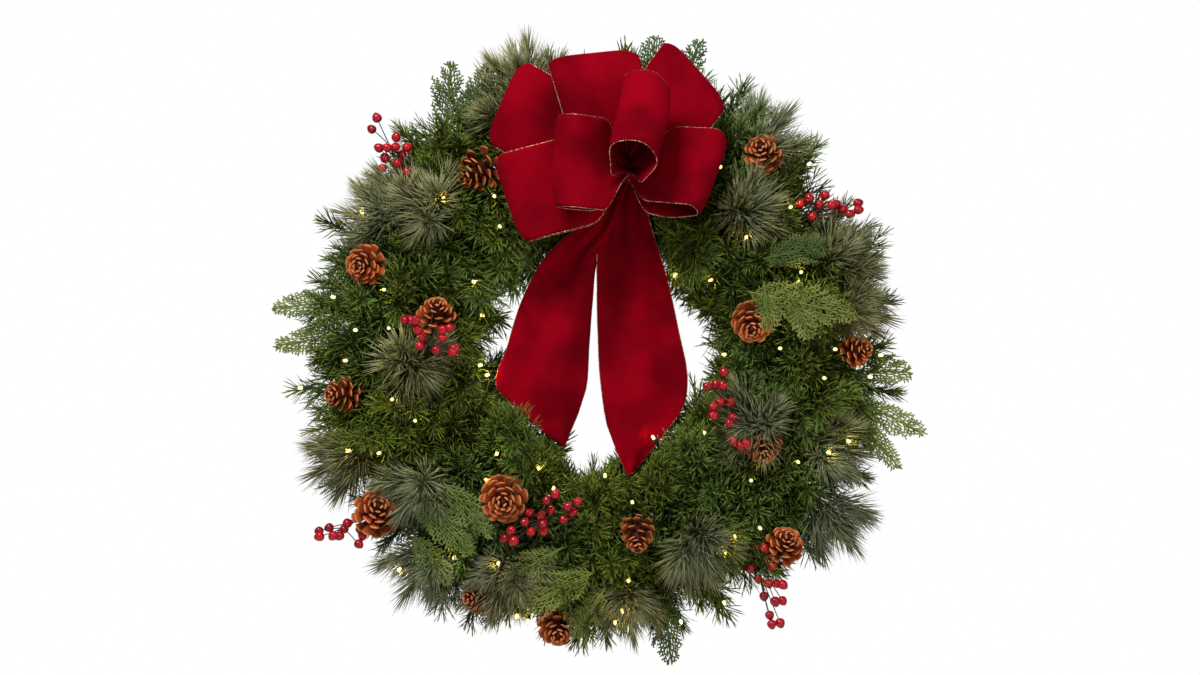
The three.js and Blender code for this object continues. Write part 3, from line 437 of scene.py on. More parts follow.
class Graph:
    """A shader node tree under construction."""

    def __init__(self, tree: bpy.types.NodeTree) -> None:
        """Starts on a tree."""
        self.tree = tree

    def feed(self, node: bpy.types.Node, inputs: dict) -> None:
        """Links or sets the inputs of a node.

        Args:
            node: The node.
            inputs: Sockets, numbers or colours, by the input's name or number.
        """
        for key, value in inputs.items():
            if isinstance(value, Socket):
                self.tree.links.new(value, node.inputs[key])
            else:
                plain = (*value, 1.0) if isinstance(value, tuple) else value
                node.inputs[key].default_value = plain

    def add(self, kind: str, inputs: dict | None = None, **settings: object) -> bpy.types.Node:
        """Adds a node.

        Args:
            kind: The node's type.
            inputs: What its inputs get, by name or number.
            settings: Its own settings.

        Returns:
            The node.
        """
        node = self.tree.nodes.new(kind)
        for key, value in settings.items():
            setattr(node, key, value)
        self.feed(node, inputs or {})
        return node

    def maths(self, operation: str, *values: object) -> Socket:
        """The result of a Math node on up to three numbers or sockets."""
        inputs = dict(enumerate(values))
        return self.add("ShaderNodeMath", inputs, operation=operation).outputs[0]

    def ramp(self, value: Socket, low: float, high: float) -> Socket:
        """A smooth rise from 0 at low to 1 at high."""
        inputs = {"Value": value, "From Min": low, "From Max": high}
        return self.add("ShaderNodeMapRange", inputs, interpolation_type="SMOOTHSTEP").outputs[0]

    def mix(self, share: object, first: object, second: object) -> Socket:
        """A colour between two colours or sockets."""
        inputs = {0: share, 6: first, 7: second}
        return self.add("ShaderNodeMix", inputs, data_type="RGBA").outputs[2]

    def place(self) -> Socket:
        """The place in the object's own space, in metres."""
        return self.add("ShaderNodeTexCoord").outputs["Object"]

    def noise(self, scale: object, detail: float = 3.0) -> Socket:
        """Noise in the object's own space, with its scale in waves a metre."""
        inputs = {"Vector": self.place(), "Scale": scale, "Detail": detail}
        return self.add("ShaderNodeTexNoise", inputs).outputs[0]

    def shade(self) -> Sequence[Socket]:
        """What the mesh says of each point: along, tone and wood."""
        source = self.add("ShaderNodeAttribute", attribute_name=SHADE).outputs["Color"]
        return self.add("ShaderNodeSeparateColor", {0: source}).outputs


class Group(Graph):
    """A shader node group with named inputs and outputs."""

    def __init__(self, name: str) -> None:
        """Starts a group.

        Args:
            name: Its name.
        """
        super().__init__(bpy.data.node_groups.new(name, "ShaderNodeTree"))
        self.entry = self.tree.nodes.new("NodeGroupInput")
        self.exit = self.tree.nodes.new("NodeGroupOutput")

    def takes(self, name: str, value: Colour | float) -> Socket:
        """Adds an input.

        Args:
            name: Its name.
            value: Its usual value.

        Returns:
            Its socket inside the group.
        """
        colour = isinstance(value, tuple)
        kind = "NodeSocketColor" if colour else "NodeSocketFloat"
        made = self.tree.interface.new_socket(name, in_out="INPUT", socket_type=kind)
        made.default_value = (*value, 1.0) if colour else value
        return self.entry.outputs[name]

    def gives(self, name: str, value: Socket) -> None:
        """Adds an output.

        Args:
            name: Its name.
            value: The socket that it gives.
        """
        kind = "NodeSocketColor" if value.type == "RGBA" else "NodeSocketFloat"
        self.tree.interface.new_socket(name, in_out="OUTPUT", socket_type=kind)
        self.tree.links.new(value, self.exit.inputs[name])


def growth_tones() -> bpy.types.NodeTree:
    """The group that colours what grows: dark at the foot, light at the tip, stems apart; the dark to
    light tone is partly painted shade, and pine's pale tip is partly a painted highlight.

    Returns:
        The group's tree.
    """
    group = Group("growth_tones")
    dark = group.takes("Dark", (0.02, 0.05, 0.01))
    light = group.takes("Light", (0.1, 0.2, 0.04))
    cool = group.takes("Cool", (0.08, 0.2, 0.06))
    tip = group.takes("Tip", (0.2, 0.3, 0.1))
    stem = group.takes("Stem", (0.08, 0.05, 0.02))
    tip_from = group.takes("Tip From", 0.7)
    tip_share = group.takes("Tip Share", 0.6)
    along, tone, wood = group.shade()
    broad = group.ramp(group.noise(14.0), 0.3, 0.7)
    fine = group.noise(900.0)
    # The tone, from the mesh, is partly random and partly painted shade on needles deep in the
    # wreath.
    mixed = group.maths("MULTIPLY_ADD", tone, 0.6, group.maths("MULTIPLY", broad, 0.28))
    level = group.maths("MULTIPLY_ADD", fine, 0.24, group.maths("SUBTRACT", mixed, 0.06))
    drift = group.maths("MULTIPLY", group.ramp(group.noise(7.0, 1.0), 0.4, 0.62), 0.8)
    body = group.mix(level, dark, group.mix(drift, light, cool))
    # The paler tip; on pine it is partly a painted highlight.
    rise = group.maths("SUBTRACT", along, tip_from)
    ends = group.maths("DIVIDE", rise, group.maths("SUBTRACT", 1.001, tip_from))
    clear = group.add("ShaderNodeClamp", {0: ends}).outputs[0]
    tipped = group.mix(group.maths("MULTIPLY", clear, tip_share), body, tip)
    group.gives("Color", group.mix(wood, tipped, stem))
    group.gives("Grain", fine)
    group.gives("Along", along)
    return group.tree


def fine_grain() -> bpy.types.NodeTree:
    """The group for bark, wood and pressed metal: two sizes of grain.

    Returns:
        The group's tree.
    """
    group = Group("fine_grain")
    scale = group.takes("Scale", 600.0)
    coarse = group.noise(scale, 4.0)
    closer = {"Vector": group.place(), "Scale": group.maths("MULTIPLY", scale, 4.0)}
    cells = group.add("ShaderNodeTexVoronoi", closer).outputs[0]
    group.gives("Height", group.maths("MULTIPLY_ADD", cells, 0.4, coarse))
    group.gives("Mask", group.ramp(coarse, 0.35, 0.65))
    return group.tree


GROWTH_TONES = growth_tones()
FINE_GRAIN = fine_grain()


class Surface(Graph):
    """A material under construction, with a Principled BSDF."""

    def __init__(self, name: str) -> None:
        """Starts a material.

        Args:
            name: Its name.
        """
        self.material = bpy.data.materials.new(name)
        self.material.use_nodes = True
        super().__init__(self.material.node_tree)
        self.shader = self.tree.nodes["Principled BSDF"]

    def set(self, **inputs: object) -> None:
        """Links or sets the shader's own inputs, their names with underscores."""
        self.feed(self.shader, {key.replace("_", " "): value for key, value in inputs.items()})

    def bump(self, height: Socket, strength: float, depth: float) -> None:
        """Gives the shader a bump of a height, with its depth in metres."""
        inputs = {"Height": height, "Strength": strength, "Distance": depth}
        self.set(Normal=self.add("ShaderNodeBump", inputs).outputs[0])


@dataclass(frozen=True)
class Finish:
    """What every finish has: the name of its material and a way to dress it."""

    name: str

    def dress(self, surface: Surface) -> None:
        """Sets the nodes of a surface; each finish does it in its own way."""
        raise NotImplementedError(surface)

    def make(self) -> bpy.types.Material:
        """Builds the material.

        Returns:
            The new material.
        """
        surface = Surface(self.name)
        self.dress(surface)
        return surface.material


@dataclass(frozen=True)
class GreenFinish(Finish):
    """The finish of needles or leaflets with their stems."""

    dark: Colour
    light: Colour
    cool: Colour
    tip: Colour
    stem: Colour
    tip_from: float
    tip_share: float
    roughness: float

    def dress(self, surface: Surface) -> None:
        """Sets the tones of growth and a fine grain.

        Args:
            surface: The surface.
        """
        inputs = {
            "Dark": self.dark, "Light": self.light, "Cool": self.cool, "Tip": self.tip,
            "Stem": self.stem, "Tip From": self.tip_from, "Tip Share": self.tip_share,
        }
        tones = surface.add("ShaderNodeGroup", inputs, node_tree=GROWTH_TONES).outputs
        rough = surface.maths("MULTIPLY_ADD", tones["Grain"], 0.3, self.roughness - 0.15)
        surface.set(Base_Color=tones["Color"], Roughness=rough, Specular_IOR_Level=0.14)
        surface.bump(tones["Grain"], 0.4, 0.0004)


@dataclass(frozen=True)
class ScaleFinish(Finish):
    """The woody finish of cone scales, with painted shade at their roots and pale rims that are
    partly a painted highlight.
    """

    # The dark colour at the scales' roots, deep in the cone, is painted shade; the grain streaks and
    # the randomly darker scales take it too.
    heart: Colour
    face: Colour
    # The pale rim: partly the scales' own colour, partly a painted highlight.
    rim: Colour

    def dress(self, surface: Surface) -> None:
        """Sets a dark heart of painted shade, a warm face, a pale rim that is partly a painted
        highlight, and streaks.

        Args:
            surface: The surface.
        """
        along, tone, edge = surface.shade()
        grain = surface.add("ShaderNodeGroup", {"Scale": 450.0}, node_tree=FINE_GRAIN).outputs
        # Painted shade: the inner part of each scale takes the dark heart colour.
        warm = surface.mix(surface.ramp(along, 0.4, 0.92), self.heart, self.face)
        # Mask of the pale rim, partly the scales' own colour and partly a painted highlight.
        pale_rim_and_highlight = surface.maths("MULTIPLY", surface.ramp(edge, 0.45, 1.0), 0.85)
        dusk = surface.maths("MULTIPLY_ADD", tone, 0.45, 0.1)
        shaded = surface.mix(dusk, surface.mix(pale_rim_and_highlight, warm, self.rim), self.heart)
        streaks = surface.maths("MULTIPLY", grain["Mask"], 0.3)
        surface.set(Base_Color=surface.mix(streaks, shaded, self.heart))
        surface.set(Roughness=0.62, Specular_IOR_Level=0.2)
        surface.bump(grain["Height"], 0.6, 0.0005)


@dataclass(frozen=True)
class BerryFinish(Finish):
    """The glossy finish of berries."""

    dark: Colour
    light: Colour
    eye: Colour
    gloss: float

    def dress(self, surface: Surface) -> None:
        """Sets a clouded skin with a coat, and the eye at the tip.

        Args:
            surface: The surface.
        """
        along, tone, _ = surface.shade()
        cloud = surface.ramp(surface.noise(260.0), 0.3, 0.75)
        level = surface.maths("MULTIPLY_ADD", cloud, 0.5, tone)
        skin = surface.mix(level, self.dark, self.light)
        surface.set(Base_Color=surface.mix(surface.ramp(along, 0.93, 0.99), skin, self.eye))
        surface.set(Roughness=0.4, Coat_Weight=self.gloss, Coat_Roughness=0.1)
        surface.set(Specular_IOR_Level=0.2)
        surface.bump(surface.noise(1400.0), 0.12, 0.0002)


@dataclass(frozen=True)
class VelvetFinish(Finish):
    """The finish of velvet ribbon: a deep pile with large dark patches, partly the velvet's own nap
    and partly painted fold shade, and a sheen.
    """

    # The dark end of the pile, which the patches of painted fold shade also take.
    deep: Colour
    pile: Colour
    sheen: Colour

    def dress(self, surface: Surface) -> None:
        """Sets the large patches, partly the velvet's own nap and partly painted fold shade, the pile
        and its sheen.

        Args:
            surface: The surface.
        """
        # Large patches: partly the velvet's own nap, partly painted shade standing in for the shade
        # of folds.
        nap_and_fold_shade = surface.ramp(surface.noise(15.0, 4.0), 0.32, 0.68)
        pile = surface.noise(2600.0, 2.0)
        broad = surface.maths("MULTIPLY_ADD", nap_and_fold_shade, 0.5, 0.02)
        level = surface.maths("MULTIPLY_ADD", pile, 0.6, broad)
        surface.set(Base_Color=surface.mix(level, self.deep, self.pile))
        surface.set(Roughness=0.9, Specular_IOR_Level=0.02)
        surface.set(Sheen_Weight=0.3, Sheen_Roughness=0.35, Sheen_Tint=self.sheen)
        surface.bump(pile, 0.5, 0.0005)


@dataclass(frozen=True)
class MetalFinish(Finish):
    """The finish of wire and stalks: enamelled, gilt or bare."""

    light: Colour
    dark: Colour
    metallic: float
    roughness: float
    grain: float

    def dress(self, surface: Surface) -> None:
        """Sets two tones and a roughness that change with the grain.

        Args:
            surface: The surface.
        """
        grain = surface.add("ShaderNodeGroup", {"Scale": self.grain}, node_tree=FINE_GRAIN).outputs
        rough = surface.maths("MULTIPLY_ADD", grain["Mask"], 0.2, self.roughness)
        surface.set(Base_Color=surface.mix(grain["Mask"], self.light, self.dark))
        surface.set(Roughness=rough, Metallic=self.metallic)
        surface.bump(grain["Height"], 0.3, 0.0003)


@dataclass(frozen=True)
class LampFinish(Finish):
    """The finish of a lit lamp: clear shell, glowing heart."""

    glow: Colour
    face: Colour
    shell: Colour
    strength: float
    seen: float

    def dress(self, surface: Surface) -> None:
        """Sets the glow, which is stronger for the greens round it than to the eye.

        Args:
            surface: The surface.
        """
        edge = tuple(0.55 * part for part in self.glow)
        colour = surface.mix(surface.ramp(surface.shade()[0], 0.0, 0.75), edge, self.glow)
        seen = surface.add("ShaderNodeLightPath").outputs["Is Camera Ray"]
        dimmed = surface.maths("MULTIPLY_ADD", seen, self.seen - self.strength, self.strength)
        surface.set(Emission_Color=surface.mix(seen, colour, self.face), Emission_Strength=dimmed)
        surface.set(Base_Color=self.shell, Roughness=0.2)


class Look(Enum):
    """Every finish of the wreath."""

    FIR = GreenFinish(
        "fir_green", (0.01, 0.024, 0.003), (0.16, 0.23, 0.022), (0.085, 0.2, 0.06),
        (0.28, 0.36, 0.06), (0.06, 0.05, 0.015), 0.3, 0.5, 0.6,
    )
    # Its pale tips are partly the needles' own colour and partly a painted highlight.
    PINE = GreenFinish(
        "pine_green", (0.035, 0.045, 0.016), (0.34, 0.345, 0.14), (0.24, 0.3, 0.17),
        (0.74, 0.64, 0.37), (0.09, 0.06, 0.025), 0.5, 0.8, 0.65,
    )
    CEDAR = GreenFinish(
        "cedar_green", (0.03, 0.055, 0.01), (0.34, 0.39, 0.075), (0.18, 0.28, 0.065),
        (0.58, 0.62, 0.22), (0.13, 0.1, 0.03), 0.3, 0.5, 0.65,
    )
    CEDAR_BLUE = GreenFinish(
        "cedar_dusk_green", (0.018, 0.045, 0.014), (0.14, 0.19, 0.05), (0.09, 0.17, 0.06),
        (0.26, 0.32, 0.11), (0.1, 0.09, 0.035), 0.3, 0.5, 0.65,
    )
    CONE = ScaleFinish("cone_wood", (0.045, 0.005, 0.0015), (0.68, 0.125, 0.02), (0.84, 0.34, 0.13))
    BERRY = BerryFinish(
        "berry_skin", (0.12, 0.0, 0.004), (0.5, 0.002, 0.012), (0.02, 0.006, 0.004), 0.55
    )
    STALK = MetalFinish("berry_stalks", (0.05, 0.028, 0.014), (0.02, 0.012, 0.008), 0.0, 0.6, 700.0)
    VELVET = VelvetFinish("velvet_pile", (0.05, 0.0, 0.003), (0.33, 0.0005, 0.009), (0.55, 0.0, 0.02))
    GILT = MetalFinish("gilt_edge", (0.85, 0.5, 0.27), (0.14, 0.005, 0.008), 0.6, 0.3, 330.0)
    FRAME = MetalFinish("frame_enamel", (0.03, 0.08, 0.035), (0.015, 0.04, 0.02), 0.2, 0.4, 500.0)
    LEAD = MetalFinish("lamp_lead", (0.03, 0.08, 0.03), (0.015, 0.045, 0.02), 0.0, 0.35, 900.0)
    TIE = MetalFinish("tie_metal", (0.35, 0.33, 0.28), (0.12, 0.1, 0.08), 1.0, 0.35, 1200.0)
    LAMP = LampFinish("lamp_glow", (1.0, 0.68, 0.14), (1.0, 0.6, 0.2), (0.9, 0.8, 0.55), 60.0, 2.6)

    @functools.cache
    def material(self) -> bpy.types.Material:
        """The finish's material, made the first time that it is asked for."""
        return self.value.make()


# --- Meshes ---


@dataclass
class Stock:
    """The closed tubes gathered for one piece, in millimetres from the wreath's middle."""

    points: list[Array] = field(default_factory=list)
    quads: list[Array] = field(default_factory=list)
    triangles: list[Array] = field(default_factory=list)
    shades: list[Array] = field(default_factory=list)
    count: int = 0

    def skin(self, rings: Array, starts: Array, ends: Array, shade: Array) -> None:
        """Adds closed tubes given by their rings of points.

        Args:
            rings: Points (n, k, m, 3), each ring anticlockwise seen from the end.
            starts: The middle of each start (n, 3).
            ends: The middle of each end (n, 3).
            shade: Shades of each ring, to broadcast to (n, k, 4).
        """
        n, k, m, _ = rings.shape
        size = k * m + 2
        body = np.concatenate([rings.reshape(n, k * m, 3), starts[:, None], ends[:, None]], axis=1)
        tint = np.broadcast_to(shade, (n, k, 4))
        tints = np.concatenate([np.repeat(tint, m, axis=1), tint[:, :1], tint[:, -1:]], axis=1)
        ring = np.arange(m)
        after = (ring + 1) % m
        row = np.arange(k - 1)[:, None] * m
        quad = np.stack([row + ring, row + after, row + m + after, row + m + ring], axis=-1)
        top = (k - 1) * m
        first = np.stack([np.full(m, k * m), after, ring], axis=-1)
        last = np.stack([np.full(m, k * m + 1), top + ring, top + after], axis=-1)
        shift = self.count + np.arange(n)[:, None, None] * size
        self.points.append(body.reshape(-1, 3))
        self.shades.append(tints.reshape(-1, 4))
        self.quads.append((quad.reshape(1, -1, 4) + shift).reshape(-1, 4))
        self.triangles.append((np.concatenate([first, last])[None] + shift).reshape(-1, 3))
        self.count += n * size

    def sections(
        self, paths: Array, axes: Axes, wide: Array, high: Array, shade: Array, **caps: Array
    ) -> None:
        """Adds closed tubes given by their sections.

        Args:
            paths: Middles (n, k, 3).
            axes: Directions of the width and the thickness, to broadcast to the paths.
            wide: Where the section's points lie along the width (n, k, m).
            high: Where they lie along the thickness (n, k, m).
            shade: Shades, to broadcast to (n, k, 4).
            caps: Pointed starts and ends (n, 3), if any.
        """
        across, normal = (np.broadcast_to(axis, paths.shape)[:, :, None] for axis in axes)
        rings = paths[:, :, None] + across * wide[..., None] + normal * high[..., None]
        self.skin(rings, caps.get("starts", paths[:, 0]), caps.get("ends", paths[:, -1]), shade)

    def tubes(
        self,
        paths: Array,
        axes: Axes,
        wide: Array | float,
        thick: Array | float,
        sides: int,
        shade: Array,
        **caps: Array,
    ) -> None:
        """Adds closed tubes of an oval section.

        Args:
            paths: Middles (n, k, 3).
            axes: Directions of the width and the thickness, to broadcast to the paths.
            wide: Half widths, to broadcast to (n, k).
            thick: Half thicknesses, to broadcast to (n, k).
            sides: Sides of the section.
            shade: Shades, to broadcast to (n, k, 4).
            caps: Pointed starts and ends (n, 3), if any.
        """
        turn = np.arange(sides) / sides * TURN
        half_wide = np.broadcast_to(wide, paths.shape[:2])[..., None] * np.cos(turn)
        half_thick = np.broadcast_to(thick, paths.shape[:2])[..., None] * np.sin(turn)
        self.sections(paths, axes, half_wide, half_thick, shade, **caps)

    def rods(
        self, paths: Array, radius: Array | float, sides: int, shade: Array, **caps: Array
    ) -> None:
        """Adds closed tubes of a round section along paths (n, k, 3)."""
        self.tubes(paths, frames(paths, SPARE), radius, radius, sides, shade, **caps)

    def piece(self, name: str, look: Look, slot: str) -> bpy.types.Object:
        """Makes the object of all that is gathered, riding on the wreath.

        Args:
            name: The piece's name.
            look: Its finish.
            slot: Not used.

        Returns:
            The new object.
        """
        points = np.concatenate(self.points)
        quads = np.concatenate(self.quads)
        triangles = np.concatenate(self.triangles)
        mesh = bpy.data.meshes.new(name)
        mesh.vertices.add(len(points))
        placed = (points + [0, 0, MIDDLE_Z]) * MM
        mesh.vertices.foreach_set("co", placed.astype(np.float32).ravel())
        loops = np.concatenate([quads.ravel(), triangles.ravel()])
        mesh.loops.add(len(loops))
        mesh.loops.foreach_set("vertex_index", loops.astype(np.int32))
        quad_starts = np.arange(len(quads)) * 4
        triangle_starts = len(quads) * 4 + np.arange(len(triangles)) * 3
        starts = np.concatenate([quad_starts, triangle_starts])
        mesh.polygons.add(len(starts))
        mesh.polygons.foreach_set("loop_start", starts.astype(np.int32))
        mesh.polygons.foreach_set("use_smooth", np.ones(len(starts), dtype=bool))
        mesh.update(calc_edges=True)
        tint = mesh.attributes.new(SHADE, "FLOAT_COLOR", "POINT")
        tint.data.foreach_set("color", np.concatenate(self.shades).astype(np.float32).ravel())
        mesh.materials.append(look.material())
        made = add_object(name, mesh)
        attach(made, BODY)
        LOG.info("%s: %d points, %d faces", name, len(points), len(starts))
        return made


@dataclass(frozen=True)
class NeedleCut:
    """The size and set of the needles on a twig, in millimetres and degrees."""

    length: float
    width: float
    thick: float
    pitch: float
    lean_foot: float
    lean_tip: float
    curl: float
    # Where the points of a needle lie along it, and how far inside the twig it starts.
    stops: tuple[float, ...] = (0.0, 0.8)
    inset: float = 0.4
    # How much needles differ: in lean and curl, in shade and in length.
    lean_noise: float = 0.09
    curl_noise: float = 0.04
    tone_noise: float = 0.26
    sizes: tuple[float, float] = (0.82, 1.06)


FIR_CUT = NeedleCut(26.0, 2.1, 0.6, 1.4, 64, 24, 0.1)
UNDER_CUT = NeedleCut(30.0, 3.0, 0.6, 1.3, 64, 30, 0.1)
COVER_CUT = NeedleCut(46.0, 2.6, 0.5, 0.085, 78, 72, 0.05)
PINE_CUT = NeedleCut(50.0, 1.8, 0.7, 0.45, 54, 9, 0.05, (0.02, 0.02 + 0.85 / 3, 0.02 + 1.7 / 3))


class Twigs(Stock):
    """A stock that grows stems and needles, with random draws of its own."""

    def __init__(self, seed: int) -> None:
        """Starts with a seed for the draws."""
        super().__init__()
        self.rng = np.random.default_rng(seed)

    def stem(self, path: Array, foot: float, tip: float, tone: float = 0.5) -> None:
        """Adds a bare stem along a path (k, 3), with its radius at the foot and at the tip."""
        radius = np.linspace(foot, tip, len(path))[None]
        self.rods(path[None], radius, 5, shades(0.0, tone, 1.0))

    def needles(self, path: Array, span: float, cut: NeedleCut, tone: float) -> None:
        """Sets needles round the last stretch of a twig.

        Args:
            path: The twig's points (k, 3).
            span: The length that carries needles.
            cut: Their size and set.
            tone: The twig's shade.
        """
        rng = self.rng
        total = path_length(path)
        span = min(span, total)
        count = max(int(span / cut.pitch), 3)
        share = (np.arange(count) + rng.uniform(0, 1, count)) / count
        places = total - span + share * span
        feet = resample(path, places)
        along = unit(resample(path, np.minimum(places + 0.5, total)) - resample(path, places - 0.5))
        across = unit(np.cross(SPARE, along))
        turn = np.arange(count) * GOLDEN_TURN + rng.uniform(-0.5, 0.5, count)
        side = between(across, np.cross(along, across), turn)
        lean = np.radians(cut.lean_foot + (cut.lean_tip - cut.lean_foot) * share**1.6)
        aim = between(along, side, lean + rng.normal(0, cut.lean_noise, count))
        size = cut.length * (0.7 + 0.3 * np.sin(np.pi * np.minimum(share + 0.2, 1) ** 1.4))
        size = (size * rng.uniform(*cut.sizes, count))[:, None]
        # Each needle starts a little inside the twig and curls towards the twig's end.
        curl = along * rng.normal(cut.curl, cut.curl_noise, count)[:, None]
        stops = np.array(cut.stops)
        start = feet[:, None] - aim[:, None] * cut.inset
        bent = aim[:, None] * stops[:, None] + curl[:, None] * stops[:, None] ** 2
        line = start + bent * size[:, None]
        line[..., 1] = np.minimum(line[..., 1], WALL_TOUCH)
        ends = feet + (aim + curl) * size
        ends[:, 1] = np.minimum(ends[:, 1], WALL_TOUCH)
        flat = unit(np.cross(along, side))
        axes = (flat[:, None], np.cross(aim, flat)[:, None])
        wide = cut.width / 2 * np.interp(stops, [0, 0.4, 1], [0.7, 1, 0.8])
        light = np.clip(tone + rng.normal(0, cut.tone_noise, count), 0, 1)
        free = ~in_ribbon(ends, TWIG_GAP)
        self.tubes(
            line[free], (axes[0][free], axes[1][free]), wide, cut.thick / 2, 3,
            shades(stops, light[free]), ends=ends[free],
        )


# --- Where greens may grow ---


def inside_outline(outline: Outline, x: Array, z: Array) -> Array:
    """Whether places on the face lie inside an outline.

    Args:
        outline: Its corners.
        x: The places across the face.
        z: The places up the face.

    Returns:
        True for each place that lies inside.
    """
    inside = np.zeros(np.shape(x), dtype=bool)
    for (x1, z1), (x2, z2) in zip(outline, [*outline[1:], outline[0]]):
        if z1 != z2:
            spans = (z1 > z) != (z2 > z)
            inside ^= spans & (x < x1 + (z - z1) / (z2 - z1) * (x2 - x1))
    return inside


def tail_depth(z: Array) -> Array:
    """The depth of the tails, their y, at a height."""
    share = np.clip((TAIL_HIGH - z) / (TAIL_HIGH - TAIL_LOW), 0, 1)
    return TAIL_TOP_Y + (TAIL_FOOT_Y - TAIL_TOP_Y) * np.sin(share * math.pi / 2)


def laps_tail(points: Array, margin: float) -> Array:
    """Whether points pass before the outer end of a tail, where greens may lap it.

    Args:
        points: The points (n, 3).
        margin: Room to keep to the ribbon.

    Returns:
        True for each point that does.
    """
    x, y, z = points.T
    end = ((x < LAP_SIDES[0]) | (x > LAP_SIDES[1])) & (z > LAP[0]) & (z < LAP[1])
    return end & (y < tail_depth(z) - TAIL_FRONT - margin)


def in_ribbon(points: Array, margin: float) -> Array:
    """Whether points lie in the bow's ribbon, or before it without lapping a tail's end.

    Args:
        points: The points (n, 3).
        margin: Room to keep to the ribbon.

    Returns:
        True for each point that does.
    """
    x, y, z = points.T
    hit = (y < BOW_BACK + margin) & inside_outline(BOW_OUTLINE, x, z)
    before = (y < tail_depth(z) + TAIL_SWAY + margin) & ~laps_tail(points, margin)
    for outline in TAIL_OUTLINES:
        hit |= before & inside_outline(outline, x, z)
    return hit


@dataclass
class Room:
    """The space that sprigs may grow in, between solid lumps and pine tufts."""

    lumps: list[tuple[Array, float]]
    tufts: list[Array]
    lump_gap: float = 6.0
    ribbon_gap: float = 2.0
    tuft_size: float = 44.0

    def clear(self, path: Array) -> bool:
        """Whether a path keeps clear of the wall, opening, ribbon and solid lumps.

        Args:
            path: The sprig's points (k, 3).

        Returns:
            Whether it is clear.
        """
        x, y, z = path.T
        if (y > WALL_Y).any():
            return False
        in_hole = (abs(x) < HOLE_HALF) & (z > HOLE_LOW) & (z < HOLE_HIGH)
        in_slit = (x > SLIT[0]) & (x < SLIT[1]) & (z > SLIT[2]) & (z < SLIT[3])
        shut = (in_hole | in_slit) & ~laps_tail(path, 0.0)
        if (shut | in_ribbon(path, self.ribbon_gap)).any():
            return False
        gaps = (np.linalg.norm(path - middle, axis=1).min() - size for middle, size in self.lumps)
        return all(gap > self.lump_gap for gap in gaps)

    def hides_tuft(self, path: Array) -> bool:
        """Whether the outer half of a path lies before one of the pine tufts.

        Args:
            path: The sprig's points (k, 3).

        Returns:
            Whether it does.
        """
        outer = path[len(path) // 2 :]
        for tuft in self.tufts:
            x, y, z = (outer - tuft).T
            if ((np.hypot(x, z) < self.tuft_size) & (y < self.tuft_size / 2)).any():
                return True
        return False


# --- Greens ---


